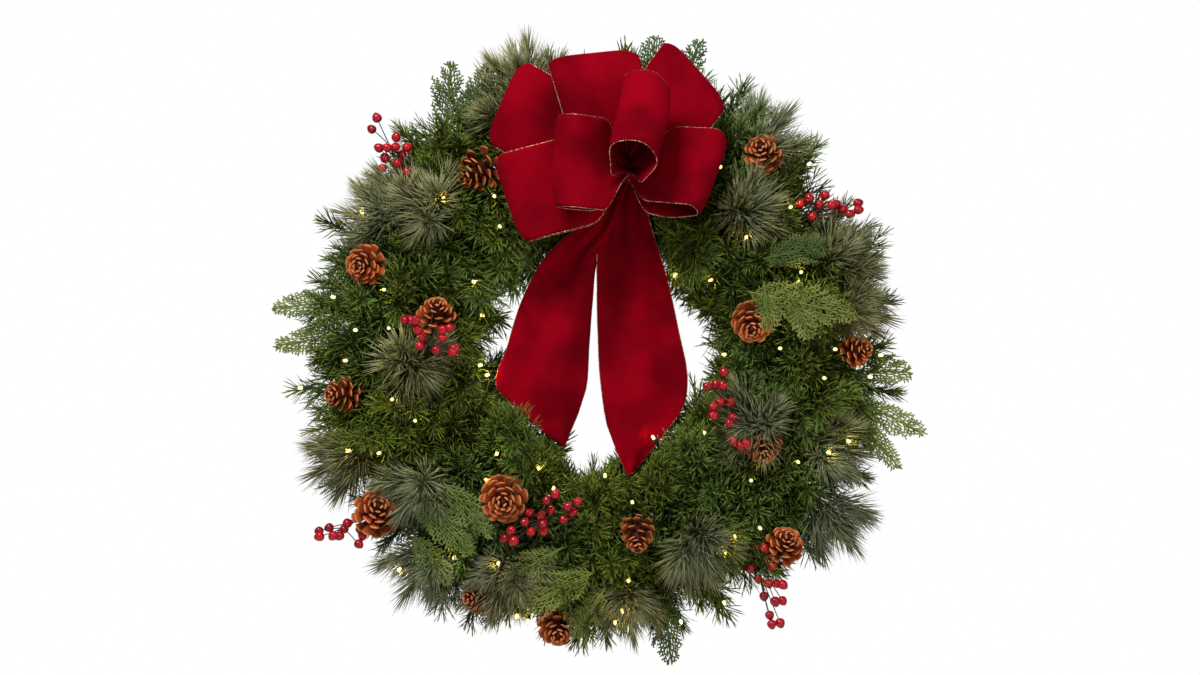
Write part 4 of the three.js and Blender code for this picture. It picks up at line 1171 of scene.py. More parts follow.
@dataclass
class FirSector:
    """One sector of bound stems with the fir sprigs that grow from it."""

    number: int
    room: Room
    seed: int = 100
    strands: int = 6
    strand_radius: float = 3.7
    strand_ring: float = 6.2
    strand_turns: float = 2.0
    own_reach: float = 45.0
    own_tones: tuple[float, float] = (0.35, 1.0)
    fill_light: float = 0.75
    # The under sprigs get a dark tone: painted shade below the others.
    under_shade_tone: float = 0.2
    tries: int = 8
    # Radii of stems at the foot and the tip, and how far the needles reach down a twig.
    stem: tuple[float, float] = (1.9, 0.7)
    side_stem: tuple[float, float] = (1.0, 0.5)
    needled: float = 0.86
    needled_most: float = 100.0
    # How side twigs lean: along the twig, away from it and at random.
    side_lean: tuple[float, float, float] = (0.72, 0.7, 0.1)
    # Of each side twig: how far it stands from the tip, and its length.
    side_twigs: tuple[tuple[int, int], ...] = ((22, 26), (38, 34), (52, 38), (66, 40))
    # Rows of further sprigs: angle round the bundle in degrees, number and reach.
    fill_rows: tuple[Row, ...] = (
        (-4, 5, 116), (10, 6, 122), (30, 5, 114), (52, 5, 98), (76, 4, 88), (100, 4, 84),
        (124, 4, 92), (145, 6, 130), (150, 4, 104), (168, 5, 108), (184, 5, 104),
    )
    under_rows: tuple[Row, ...] = (
        (-3, 8, 100), (0, 6, 70), (30, 6, 82), (60, 5, 70), (90, 4, 60), (120, 4, 60), (150, 5, 70),
        (178, 6, 90), (184, 6, 74),
    )
    # Rows past this angle reach further into the opening, most of all at its top and lower left.
    inner_row: float = 140.0
    top_from: float = 0.55
    top_gain: float = 0.7
    foot_from: float = -0.35
    foot_gain: float = 0.1
    left_from: float = -0.2
    left_gain: float = 0.26

    @property
    def node(self) -> str:
        """The name of the solid that this piece stands for."""
        return f"fir_greens_{tag(self.number)}"

    def sprig_tips(self) -> Array:
        """The tips of the solid's own sprigs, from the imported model.

        Returns:
            Tips (n, 3): the far points where just three faces meet.
        """
        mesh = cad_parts[self.node].data
        points = np.array([v.co for v in mesh.vertices]) / MM
        unique, which = np.unique(np.round(points, 3), axis=0, return_inverse=True)
        uses = np.zeros(len(unique), dtype=int)
        for face in mesh.polygons:
            for corner in face.vertices:
                uses[which[corner]] += 1
        places = unique - [0, 0, MIDDLE_Z]
        out = np.hypot(places[:, 0], places[:, 2]) - BUNDLE_RING
        distance = np.hypot(out, places[:, 1] - BUNDLE_Y)
        return places[(uses == 3) & (distance > self.own_reach)]

    def bundle(self, twigs: Twigs) -> None:
        """Adds the twisted stems of the sector and the short needles that cover them.

        Args:
            twigs: Where they grow.
        """
        start, end = self.number * SECTOR, (self.number + 1) * SECTOR
        angle = np.linspace(start + 0.001, end - 0.001, 28)
        for strand in range(self.strands):
            twist = strand / self.strands * TURN + angle / SECTOR * TURN * self.strand_turns
            path = from_bundle(angle, twist, self.strand_ring)
            twigs.stem(path, self.strand_radius, self.strand_radius, 0.3)
        path = from_bundle(angle, 0.0, 0.0)
        # The needles that cover the bundle get a dark tone: painted shade deep in the wreath.
        twigs.needles(path, path_length(path), COVER_CUT, 0.1)

    def sprig(
        self, twigs: Twigs, path: Array, tone: float, scale: float = 1.0, cut: NeedleCut = FIR_CUT
    ) -> None:
        """Adds a sprig: a main twig and smaller ones at its sides.

        Args:
            twigs: Where it grows.
            path: The main twig's points (k, 3).
            tone: Its shade.
            scale: The size of the side twigs.
            cut: The size and set of its needles.
        """
        rng = twigs.rng
        length = path_length(path)
        twigs.stem(path, *self.stem)
        twigs.needles(path, min(length * self.needled, self.needled_most), cut, tone)
        last = unit(path[-1] - path[-2])
        outward = unit(path[-1] - from_bundle(math.atan2(path[-1, 2], path[-1, 0]), 0.0, 0.0))
        sidewise = unit(np.cross(outward, last) + rng.normal(0, 0.25, 3))
        if np.linalg.norm(np.cross(outward, last)) < 0.2:
            sidewise = unit(np.cross(last, radial(rng.uniform(0, TURN))))
        lean, spread, noise = self.side_lean
        for turn, (back, size) in enumerate(self.side_twigs):
            if back > length * 0.8:
                continue
            foot = resample(path, np.array([length - back]))[0]
            along = unit(path[-1] - foot)
            way = (1 if turn % 2 else -1) * sidewise
            aim = unit(along * lean + way * spread + rng.normal(0, noise, 3))
            reach = size * scale * rng.uniform(0.85, 1.15)
            bend = along * reach * 0.12
            side = bezier([foot, foot + aim * reach * 0.5, foot + aim * reach + bend], 4)
            side[:, 1] = np.minimum(side[:, 1], WALL_Y - 1)
            if not in_ribbon(side, TWIG_GAP).any():
                twigs.stem(side, *self.side_stem)
                twigs.needles(side, reach * 0.95, cut, min(tone + 0.08, 1))

    def further(self, rng: np.random.Generator, row: Row, place: int) -> tuple[Array, float]:
        """Draws the path of a further sprig.

        Args:
            rng: The random draws.
            row: The row that it stands in.
            place: Its place in the row.

        Returns:
            Its points (8, 3), and its reach as a share of the row's.
        """
        poloidal, count, reach = row
        at = (self.number + (place + rng.uniform(0.1, 0.9)) / count) * SECTOR
        up = math.radians(poloidal + rng.uniform(-9, 9))
        deep = self.top_gain * max(math.sin(at) - self.top_from, 0.0)
        if math.sin(at) < self.foot_from:
            deep += self.left_gain if math.cos(at) < self.left_from else self.foot_gain
        far = reach * rng.uniform(0.62, 1.0) * (1 + deep * (poloidal > self.inner_row))
        lean = rng.uniform(-0.5, 0.5)
        swing = lean * far / (BUNDLE_RING + far * math.cos(up))
        root = from_bundle(at, up, ROOT_DEPTH)
        knee = from_bundle(at, up, far * 0.5)
        tip = from_bundle(at + swing, up + rng.uniform(-0.2, 0.2), far)
        return bezier([root, knee, tip], 8), far / reach

    def fill(self, twigs: Twigs, rows: tuple[Row, ...], light: float, cut: NeedleCut) -> None:
        """Adds sprigs between the solid's own, where there is room.

        Args:
            twigs: Where they grow.
            rows: Their rows.
            light: How light the furthest are; shorter ones, deeper in, get darker as painted shade.
            cut: The size and set of their needles.
        """
        rng = twigs.rng
        for row, place in ((row, place) for row in rows for place in range(row[1])):
            for _ in range(self.tries):
                path, depth = self.further(rng, row, place)
                hides = cut is FIR_CUT and self.room.hides_tuft(path)
                if self.room.clear(path[3:]) and not hides:
                    # Shorter sprigs, deeper in, get a darker tone: partly random, partly painted
                    # shade.
                    tone = light * (0.1 + 0.95 * depth * rng.uniform(0.2, 1.2))
                    self.sprig(twigs, path, tone, 0.9, cut)
                    break

    def build(self) -> None:
        """Makes the sector's piece."""
        twigs = Twigs(self.seed + self.number)
        self.bundle(twigs)
        for tip in self.sprig_tips():
            self.sprig(twigs, stem_curve(tip, 0.0, [tip]), twigs.rng.uniform(*self.own_tones))
        self.fill(twigs, self.fill_rows, self.fill_light, FIR_CUT)
        self.fill(twigs, self.under_rows, self.under_shade_tone, UNDER_CUT)
        piece = twigs.piece(f"fir_sprigs_{tag(self.number)}", Look.FIR, "fir_needles")
        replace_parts(piece, self.node)


@dataclass
class PineSpray:
    """A spray of long soft needles on one forked stem."""

    number: int
    tips: tuple[Place, ...]
    needle: float
    seed: int = 300
    stem: tuple[float, float] = (2.1, 1.1)
    side_stem: tuple[float, float] = (1.2, 0.7)
    needle_gain: float = 1.14
    tones: tuple[float, float] = (0.3, 0.85)
    # How much of a twig carries needles, on the main twig and on the smaller ones.
    span: float = 62.0
    side_span: float = 40.0
    side_size: float = 0.82
    side_tufts: int = 7
    spread: float = 38.0
    bend: float = 30.0
    # Stems that end near this distance from the wreath's middle, or past it, bend less.
    outer_end: float = 340.0
    outer_band: float = 80.0

    def build(self) -> None:
        """Makes the spray's piece."""
        twigs = Twigs(self.seed + self.number)
        ends = [vector(tip) for tip in self.tips]
        for end in ends:
            path = self.laid_out(stem_curve(end, 0.1, ends))
            twigs.stem(path, *self.stem)
            self.tuft(twigs, path, self.span, 1.0)
            self.surround(twigs, path)
        piece = twigs.piece(f"pine_needles_{tag(self.number)}", Look.PINE, "pine_needles")
        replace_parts(piece, f"pine_spray_{tag(self.number)}")

    def laid_out(self, path: Array) -> Array:
        """The stem with its end bent outward, so that the needles lie over the wreath.

        Args:
            path: The stem's points (k, 3).

        Returns:
            The points after bending.
        """
        out = math.hypot(path[-1, 0], path[-1, 2])
        outward = radial(math.atan2(path[-1, 2], path[-1, 0]))
        turned = (-0.4 if out < BUNDLE_RING else 1.0) * outward + [0.1, 0.35, -0.5]
        room = np.clip((self.outer_end - out) / self.outer_band, 0.3, 1)
        return path + turned * self.bend * room * np.linspace(0, 1, len(path))[:, None] ** 3

    def tuft(self, twigs: Twigs, path: Array, span: float, size: float) -> None:
        """Adds needles on a span of a twig, their size as a share of the full length."""
        cut = replace(PINE_CUT, length=self.needle * self.needle_gain * size)
        twigs.needles(path, span, cut, twigs.rng.uniform(*self.tones))

    def surround(self, twigs: Twigs, path: Array) -> None:
        """Adds smaller twigs round the main one.

        Args:
            twigs: Where they grow.
            path: The main twig's points (k, 3).
        """
        along = unit(path[-1] - path[-3])
        across = unit(np.cross(along, SPARE))
        foot = resample(path, np.array([path_length(path) * 0.5]))[0]
        for i in range(self.side_tufts):
            turn = (i + twigs.rng.uniform(0, 0.9)) / self.side_tufts * TURN
            way = between(across, np.cross(along, across), turn)
            tip = path[-1] - along * twigs.rng.uniform(4, 26)
            tip = tip + way * self.spread * twigs.rng.uniform(0.6, 1.15)
            tip[1] = min(tip[1], WALL_Y - 6)
            side = bezier([foot, (foot + tip) / 2 + way * 4, tip], 5)
            if not in_ribbon(side, TWIG_GAP).any():
                twigs.stem(side, *self.side_stem)
                self.tuft(twigs, side, self.side_span, self.side_size)


@dataclass
class CedarFrond:
    """A flat lacy frond of one or more blades."""

    number: int
    blades: tuple[Blade, ...]
    blue: float
    seed: int = 500
    blue_from: float = 0.4
    stem: tuple[float, float] = (1.7, 1.2)
    arch: float = 0.32
    droop: float = 0.12
    branch_pitch: float = 7.4
    leaf_pitch: float = 2.7
    leaf_half: float = 1.15
    thick_half: float = 0.42

    @staticmethod
    def lie(blade: Blade) -> tuple[Array, Array, float]:
        """How a blade lies.

        Args:
            blade: Its foot, tip and width.

        Returns:
            Its direction, the direction that it faces and its length.
        """
        line = vector(blade[1]) - vector(blade[0])
        length = float(np.linalg.norm(line))
        along = line / length
        return along, unit(along * along[1] - BACKWARD), length

    def place(self, blade: Blade, flat: Array) -> Array:
        """Lays points of the flat frond on its arch, as in the solids.

        Args:
            blade: Its foot, tip and width.
            flat: Points (..., 3) along, across and above the frond.

        Returns:
            The points in their place.
        """
        along, facing, length = self.lie(blade)
        x, y, up = flat[..., 0], flat[..., 1], flat[..., 2]
        share = np.clip(x / length, 0, 1)
        rise = length * self.arch * share * (1 - share) - self.droop * abs(y) + up
        rise = rise - 0.004 * y * y + 2.0 * np.sin(x * 0.11 + y * 0.13 + self.number)
        level = along * x[..., None] + np.cross(facing, along) * y[..., None]
        return vector(blade[0]) + level + facing * rise[..., None]

    def twig_lines(self, length: float, half: float, rng: np.random.Generator) -> Array:
        """The leafy twigs of a flat frond.

        Args:
            length: The blade's length.
            half: Half its width.
            rng: The random draws.

        Returns:
            Rows of start x, y, lift, end x, y, lift and half width.
        """
        lines = [(0.0, 0.0, 0.0, length, 0.0, 0.0, 1.3)]
        count = int(2 * length / self.branch_pitch)
        for i in range(count):
            share = (i + rng.uniform(0.1, 0.9)) / count
            way = 1 if i % 2 else -1
            reach = half * 1.5 * (1 - share) ** 0.55 * min(1, 0.55 + 2 * share)
            size = min(reach * rng.uniform(0.8, 1.15), (1 - share) * length * 1.15 + 6)
            lift = rng.normal(0, 2.5)
            angle = math.radians(rng.uniform(38, 56))
            x, y, up = share * length * 0.94, 0.0, 0.0
            joints = max(int(size / self.leaf_pitch), 3)
            for j in range(joints):
                part = (j + 1) / joints
                turned = angle * (1 - 0.55 * part)
                x2 = min(x + size / joints * math.cos(turned), length)
                y2 = y + size / joints * math.sin(turned)
                up2 = lift * part
                lines.append((x, way * y, up, x2, way * y2, up2, 1.0 - 0.25 * part))
                leaf = (2.6 + 7.0 * (1 - part) ** 0.8) * rng.uniform(0.7, 1.2)
                out = turned + (1 if j % 2 else -1) * rng.uniform(0.55, 0.75)
                x3 = min(x2 + leaf * math.cos(out), length + 2)
                y3 = y2 + leaf * math.sin(out)
                lines.append((x2, way * y2, up2, x3, way * y3, up2 + rng.normal(0, 0.9), 0.9))
                x, y, up = x2, y2, up2
        return np.array(lines)

    def leaves(self, twigs: Twigs, blade: Blade) -> None:
        """Adds the rib, branches and scaly twigs of a blade.

        Args:
            twigs: Where they grow.
            blade: Its foot, tip and width.
        """
        _, facing, length = self.lie(blade)
        lines = self.twig_lines(length, blade[2] / 2, twigs.rng)
        starts, ends, size = lines[:, :3], lines[:, 3:6], lines[:, 6]
        stops = np.array([0, 0.2, 0.45, 0.7, 0.9])
        beads = np.array([0.75, 1.0, 0.7, 0.92, 0.6]) * self.leaf_half
        paths = self.place(blade, starts[:, None] + (ends - starts)[:, None] * stops[:, None])
        light = np.clip(0.5 - 0.2 * self.blue + twigs.rng.normal(0, 0.14, len(lines)), 0, 1)
        outer = abs(starts[:, 1:2]) / blade[2]
        reach = np.clip(starts[:, :1] / length * 0.5 + outer * 0.8 + 0.15 * stops, 0, 1)
        twigs.tubes(
            paths, frames(paths, facing), size[:, None] * beads, self.thick_half, 4,
            shades(reach, light), ends=self.place(blade, ends),
        )

    def build(self) -> None:
        """Makes the frond's piece."""
        twigs = Twigs(self.seed + self.number)
        feet = [vector(foot) for foot, _, _ in self.blades]
        for blade, foot in zip(self.blades, feet):
            twigs.stem(stem_curve(foot, 0.08, feet), *self.stem, 0.6)
            self.leaves(twigs, blade)
        look = Look.CEDAR_BLUE if self.blue > self.blue_from else Look.CEDAR
        piece = twigs.piece(f"cedar_leaves_{tag(self.number)}", look, "cedar_leaflets")
        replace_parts(piece, f"cedar_frond_{tag(self.number)}")


# --- Cones and berries ---


@dataclass
class PineCone:
    """An open cone: woody scales in a spiral round a core."""

    number: int
    middle: Place
    axis: Place
    width: float
    length: float
    seed: int = 700
    stem: float = 1.6
    scales: int = 44
    # A direction that no cone's axis follows, to count the turns of the scales from.
    spare: Place = (0.2, 0.3, 0.93)

    def build(self) -> None:
        """Makes the cone's piece."""
        twigs = Twigs(self.seed + self.number)
        axis, middle = unit(vector(self.axis)), vector(self.middle)
        first = unit(np.cross(axis, vector(self.spare)))
        second = np.cross(axis, first)
        foot = middle - axis * self.length * 0.3
        twigs.stem(stem_curve(foot, 0.0, [foot]), self.stem, self.stem)
        share = (np.arange(self.scales) + 0.5) / self.scales
        turn = np.arange(self.scales) * GOLDEN_TURN + twigs.rng.normal(0, 0.08, self.scales)
        out = between(first, second, turn)
        tilt = np.radians(np.interp(share, [0, 0.3, 0.55, 0.8, 1], [108, 92, 74, 48, 14]))
        aim = between(axis, out, tilt + twigs.rng.normal(0, 0.09, self.scales))
        height = np.interp(share, [0, 1], [-0.40, 0.3]) * self.length
        root = middle + axis * height[:, None] + out * (0.05 * self.width)
        reach = np.interp(share, [0, 0.15, 0.32, 0.55, 0.8, 1], [0.4, 0.47, 0.45, 0.34, 0.22, 0.13])
        self.scale_blades(twigs, root, aim, out, reach * self.width)
        # The core takes the dark heart colour: painted shade deep in the cone.
        stops = np.linspace(-0.46, 0.42, 9)
        core = self.width * np.array([0.1, 0.17, 0.2, 0.2, 0.18, 0.15, 0.12, 0.09, 0.04])
        line = (middle + axis * (stops * self.length)[:, None])[None]
        twigs.tubes(line, (first, second), core, core, 12, shades(0.0, 0.9))
        piece = twigs.piece(f"cone_scales_{tag(self.number)}", Look.CONE, "cone_scales")
        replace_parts(piece, f"pine_cone_{tag(self.number)}")

    def scale_blades(self, twigs: Twigs, root: Array, aim: Array, out: Array, reach: Array) -> None:
        """Adds the scales, narrow at the root and thick and rounded at the end.

        Args:
            twigs: Where they go.
            root: Their roots (n, 3).
            aim: Their directions (n, 3).
            out: The directions away from the axis (n, 3).
            reach: Their lengths (n,).
        """
        axis = unit(vector(self.axis))
        stops = np.array([0.0, 0.3, 0.55, 0.72, 0.84, 0.92, 0.97, 1.0])
        wide = np.array([0.25, 0.36, 0.6, 0.86, 1.0, 0.94, 0.72, 0.36])
        thick = np.array([0.5, 0.5, 0.6, 0.8, 1.1, 1.3, 1.1, 0.5])
        # Where the pale rim lies along each scale; it is partly a painted highlight.
        edge = np.array([0.0, 0.0, 0.05, 0.2, 0.45, 0.7, 0.95, 1.0])
        flat = unit(np.cross(axis, out))
        size = reach[:, None, None]
        curve = (0.14 * stops**2 - 0.1 * np.sin(np.pi * stops))[:, None]
        paths = root[:, None] + aim[:, None] * size * stops[:, None] + axis * size * curve
        half_wide = (wide * np.minimum(reach[:, None] * 0.36, self.width * 0.112))[..., None]
        half_thick = (thick * self.width * 0.019)[..., None]
        tone = np.clip(twigs.rng.normal(0.22, 0.2, len(root)), 0, 1)
        angle = np.arange(12) / 12 * TURN
        high = half_thick * np.sin(angle) + half_wide * np.cos(angle) ** 2 * 0.06
        axes = (flat[:, None], np.cross(aim, flat)[:, None])
        shade = shades(stops, tone, edge)
        ends = paths[:, -1] + aim * 0.3
        twigs.sections(paths, axes, half_wide * np.cos(angle), high, shade, ends=ends)


@dataclass
class BerrySpray:
    """A spray of glossy berries on thin stalks."""

    number: int
    end: Place
    depth: float
    fruit: tuple[tuple[float, float], ...]
    seed: int = 900
    stem: tuple[float, float] = (1.6, 1.1)
    stalk: tuple[float, float] = (0.7, 0.55)
    # How far the berries lie behind and before their common depth.
    scatter: tuple[float, float] = (-9.0, 7.0)

    def build(self) -> None:
        """Makes the berries and their stalks."""
        twigs, berries = Twigs(self.seed + self.number), Stock()
        end = vector(self.end)
        stem = stem_curve(end, 0.06, [end], 14)
        twigs.stem(stem, *self.stem)
        length = path_length(stem)
        for i, (x, z) in enumerate(self.fruit):
            place = np.array([x, self.depth + twigs.rng.uniform(*self.scatter), z])
            start = resample(stem, np.array([length * (0.97 - 0.035 * (i % 8))]))[0]
            knee = (start + place) / 2 + np.array([0, -5, 2]) + twigs.rng.normal(0, 1.5, 3)
            stalk = bezier([start, knee, place], 9)
            twigs.stem(stalk, *self.stalk)
            self.berry(berries, place, unit(stalk[-1] - stalk[-2]), twigs.rng)
        node = f"berry_spray_{tag(self.number)}"
        stalks = twigs.piece(f"berry_stalks_{tag(self.number)}", Look.STALK, "berries")
        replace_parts(stalks, node)
        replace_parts(berries.piece(f"berries_{tag(self.number)}", Look.BERRY, "berries"), node)

    @staticmethod
    def berry(stock: Stock, place: Array, aim: Array, rng: np.random.Generator) -> None:
        """Adds one berry: a drop with a dimple and a dark eye at its end.

        Args:
            stock: Where it goes.
            place: Its middle (3,).
            aim: The direction of its eye (3,).
            rng: The random draws.
        """
        size = BERRY_RADIUS * rng.uniform(1.02, 1.16)
        turn = np.linspace(0.06, math.pi - 0.16, 13)
        stops = -np.cos(turn)
        stops = stops + 0.16 * np.maximum(stops, 0) ** 3
        radius = np.sin(turn) * (1 - 0.1 * stops) * size
        paths = (place + aim * (stops * size)[:, None])[None]
        shade = shades(np.linspace(0, 1, len(stops)), rng.uniform(0.1, 0.75))
        base, tip = place - aim * size * 0.96, place + aim * size * 1.06
        stock.rods(paths, radius, 16, shade, starts=base[None], ends=tip[None])


# --- Frame, light string and tie ---


def ring_path(out: float, y: float, steps: int) -> Array:
    """Points of a ring round the wreath's middle, at a distance from it and a depth."""
    path = radial(np.linspace(0, TURN, steps)) * out
    return path + BACKWARD * y


def twisted_pair(stock: Stock, path: Array, pitch: float, strand: float) -> None:
    """Adds two strands that wind round each other along a path.

    Args:
        stock: Where they go.
        path: The middle of the pair (k, 3).
        pitch: The length of one turn.
        strand: The radius of a strand.
    """
    length = path_length(path)
    places = np.linspace(0, length, max(int(length / 2.0), 6))
    line = resample(path, places)[None]
    axes = frames(line, SPARE)
    for phase in (0.0, math.pi):
        paths = line + between(*axes, (places / pitch * TURN + phase)[None]) * strand
        stock.tubes(paths, axes, strand, strand, 5, shades(0.0, 0.5))


@dataclass
class WireFrame:
    """The two wire rings and the cross bars welded between them."""

    steps: int = 180
    # Radii of a weld, from the ring inward.
    weld: tuple[float, ...] = (2.1, 2.35, 2.3, 2.1, 1.9, 1.7)

    def build(self) -> None:
        """Makes the frame's piece."""
        stock = Stock()
        for out in (OUTER_RING, INNER_RING):
            path = ring_path(out, 0.0, self.steps)[None]
            across, normal = frames(path, BACKWARD)
            across[:, 0] = across[:, -1] = unit(across[:, 0] + across[:, -1])
            stock.tubes(path, (across, normal), WIRE_RADIUS, WIRE_RADIUS, 14, shades(0.0, 0.5))
        for i in range(SECTORS):
            way = radial((i + 0.5) * SECTOR)
            bar = (way * np.linspace(INNER_RING, OUTER_RING, 6)[:, None])[None]
            axes = frames(bar, BACKWARD)
            stock.tubes(bar, axes, BAR_RADIUS, BAR_RADIUS, 12, shades(0.0, 0.5))
            for out, inward in ((OUTER_RING, -1), (INNER_RING, 1)):
                blob = (way * (out + inward * np.linspace(0, 5, 6))[:, None])[None]
                thick = np.minimum(self.weld, WIRE_RADIUS)
                stock.tubes(blob, axes, self.weld, thick, 12, shades(0.0, 0.3))
        piece = stock.piece("frame_rings", Look.FRAME, "frame_wire")
        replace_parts(piece, "wire_frame")


@dataclass
class LightString:
    """The run of twisted wire along the frame, with a lead and a lamp at each place."""

    strand: float = 0.55
    socket: float = 2.5
    bulb: float = 1.75
    bulb_length: float = 5.6
    run_pitch: float = 9.0
    lead_pitch: float = 7.0
    # Lamps nearer to the wreath's middle than this hang on the inner run.
    inner_lamps: float = 205.0

    def lamp_path(self, place: tuple[float, float]) -> Array:
        """The lead's route from the run to a lamp, as in the solids.

        Args:
            place: The lamp's place on the face.

        Returns:
            The points of the route (18, 3).
        """
        x, z = place
        out = math.hypot(x, z)
        inner = out < self.inner_lamps
        run = INNER_RUN if inner else OUTER_RUN
        shoulder = run - 3 if inner else run + 3
        share = min(max((out - BUNDLE_RING) / FACE_HALF, -1), 1)
        depth = BUNDLE_Y - FACE_HEIGHT * math.sqrt(1 - share * share)
        route = (
            (run, RUN_Y),
            (shoulder, BUNDLE_Y - 4),
            ((shoulder + out) / 2, (BUNDLE_Y + depth) / 2),
            (out, depth),
        )
        way = radial(math.atan2(z, x))
        return bezier([way * far + BACKWARD * y for far, y in route], 18)

    def build(self) -> None:
        """Makes the wires with their sockets, and the lamps."""
        wires, lamps = Stock(), Stock()
        for out in (OUTER_RUN, INNER_RUN):
            twisted_pair(wires, ring_path(out, RUN_Y, 200), self.run_pitch, self.strand)
        way = radial(2 * SECTOR + 0.1)
        route = ((OUTER_RUN, RUN_Y), (BUNDLE_RING, RUN_Y + 7), (INNER_RUN, RUN_Y))
        link = bezier([way * far + BACKWARD * y for far, y in route], 12)
        twisted_pair(wires, link, self.run_pitch, self.strand)
        for place in LAMPS:
            path = self.lamp_path(place)
            twisted_pair(wires, path[:-3], self.lead_pitch, self.strand)
            self.socket_and_bulb(wires, lamps, path[-1], unit(path[-1] - path[-3]))
        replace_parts(wires.piece("light_wires", Look.LEAD, "lights"), "light_string")
        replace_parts(lamps.piece("light_bulbs", Look.LAMP, "lights"), "light_string")

    def socket_and_bulb(self, wires: Stock, lamps: Stock, tip: Array, aim: Array) -> None:
        """Adds one socket and its bulb.

        Args:
            wires: Where the socket goes.
            lamps: Where the bulb goes.
            tip: The bulb's end (3,).
            aim: The bulb's direction (3,).
        """
        base = tip - aim * self.bulb_length
        back = np.array([-13.0, -12.0, -11.8, -3.0, -2.4, -2.2, -0.6, 0.4])
        size = np.array([0.5, 0.62, 0.84, 0.9, 1.0, 1.12, 1.12, 0.96]) * self.socket
        wires.rods((base + aim * back[:, None])[None], size, 10, shades(0.0, 0.4))
        stops = np.array([-0.1, 0.0, 0.4, 0.7, 0.85, 0.95, 1.0])
        size = np.array([0.8, 1.0, 1.0, 0.94, 0.76, 0.48, 0.2]) * self.bulb
        paths = (base + aim * (stops * self.bulb_length)[:, None])[None]
        lamps.rods(paths, size, 12, shades(np.maximum(stops, 0), 0.5), ends=tip[None])


@dataclass
class BowTie:
    """The twisted wire that holds the bow to the bundle."""

    collar: float = 8.2
    wire: float = 0.85
    pitch: float = 6.0

    def build(self) -> None:
        """Makes the tie's piece."""
        stock = Stock()
        middle = KNOT + BACKWARD * TIE_BACK
        shoulder = middle + [0, 0, self.collar]
        ring = middle + radial(np.linspace(0, TURN, 60)) * self.collar
        for path in (stem_curve(shoulder, 0.0, [shoulder], 12), ring):
            twisted_pair(stock, path, self.pitch, self.wire)
        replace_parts(stock.piece("tie_wires", Look.TIE, "tie_wire"), "bow_tie")


# --- Bow ---


def gilt_cord(stock: Stock, path: Array) -> None:
    """Adds a fine two-ply gilt cord along an edge of the ribbon.

    Args:
        stock: Where it goes.
        path: The edge's points (k, 3).
    """
    length = path_length(path)
    places = np.linspace(0, length, max(int(length / 0.9), 8))
    line = resample(path, places)[None]
    turn = np.arange(8) / 8 * TURN
    ply = np.cos(2 * turn[None] - (places / 3.4 * TURN)[:, None])
    radius = (0.46 + 0.2 * ply)[None]
    shade = shades(np.linspace(0, 1, len(places)), 0.5)
    axes = frames(line, SPARE)
    stock.sections(line, axes, radius * np.cos(turn), radius * np.sin(turn), shade)


@dataclass
class Ribbon:
    """A length of the bow's ribbon: how it is made from its middle surface."""

    number: int
    # How much the folds of one ribbon are shifted against those of the one before.
    phase_step: ClassVar[float] = 1.7

    def sheet(self) -> Array:
        """The middle surface (k, m, 3), along and across; each kind has its own."""
        raise NotImplementedError(self.number)

    def lay(self, name: str, node: str, held: str, cut: int | None, knot: bpy.types.Object) -> None:
        """Makes the ribbon and its gilt edges.

        Args:
            name: The ribbon's name.
            node: The solid that it stands for.
            held: Not used.
            cut: Where the gilt edges end, as an index along the sheet.
            knot: Not used.
        """
        sheet = self.sheet()
        cloth, cords = Stock(), Stock()
        rows, columns, _ = sheet.shape
        surface = np.cross(np.gradient(sheet, axis=1), np.gradient(sheet, axis=0))
        normal = unit(surface) * RIBBON_THICK / 2
        rings = np.concatenate([sheet - normal, (sheet + normal)[:, ::-1]], axis=1)[None]
        middle = sheet[:, columns // 2]
        shade = shades(np.linspace(0, 1, rows), 0.5)
        cloth.skin(rings, middle[None, 0], middle[None, -1], shade)
        for edge in (0, -1):
            gilt_cord(cords, sheet[2:cut, edge])
        piece = cloth.piece(name, Look.VELVET, "velvet")
        edges = cords.piece(f"{name}_edges", Look.GILT, "velvet")
        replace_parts(piece, node)


@dataclass
class RibbonLoop(Ribbon):
    """One loop of the bow: it leaves the knot, turns round and comes back to it."""

    reach: Place
    width: Place
    length: float
    full: float
    start: float
    steps: int = 96
    across_steps: int = 28
    gather: float = 0.14
    gather_end: float = 0.42
    pleat: float = 6.0
    wave: float = 1.6
    ruffle: float = 1.8

    def sheet(self) -> Array:
        """The loop's middle surface.

        Returns:
            Points (k, m, 3), along and across the ribbon.
        """
        along = unit(vector(self.reach))
        across = unit(vector(self.width))
        rise = unit(np.cross(across, along))
        angle = np.linspace(0, TURN, self.steps)[:, None]
        v = np.linspace(-0.5, 0.5, self.across_steps)[None]
        x = self.length / 2 * (1 - np.cos(angle)) * (1 - 0.06 * (2 * abs(v)) ** 6)
        puff = 1 - 0.1 * (2 * v) ** 2
        y = self.full * np.sin(angle) * (0.55 - 0.45 * np.cos(angle)) * puff
        y = y + 3 * np.cos(angle / 2)
        spread = smoothstep(x, -4, self.length * self.gather_end)
        phase = self.number * self.phase_step
        folds = np.cos(v * TURN * 2.5 + phase) + 0.4 * np.cos(v * TURN * 4.5 + phase * 2)
        y = y + self.pleat * (1 - spread) ** 1.5 * folds * np.sign(np.sin(angle) + 1e-6)
        y = y + self.wave * np.sin(x * 0.05 + v * 5 + phase) * spread
        y = y + self.ruffle * np.sin(angle * 5 + phase) * spread * (2 * abs(v)) ** 3
        w = v * RIBBON_WIDTH * (self.gather + (1 - self.gather) * spread)
        origin = np.array([KNOT[0], self.start, KNOT[2]])
        return origin + along * x[..., None] + rise * y[..., None] + across * w[..., None]

    def build(self, knot: bpy.types.Object) -> None:
        """Makes the loop and its gilt edges."""
        self.lay(f"bow_loop_{self.number + 1}", "bow_loops", "gathered", -2, knot)


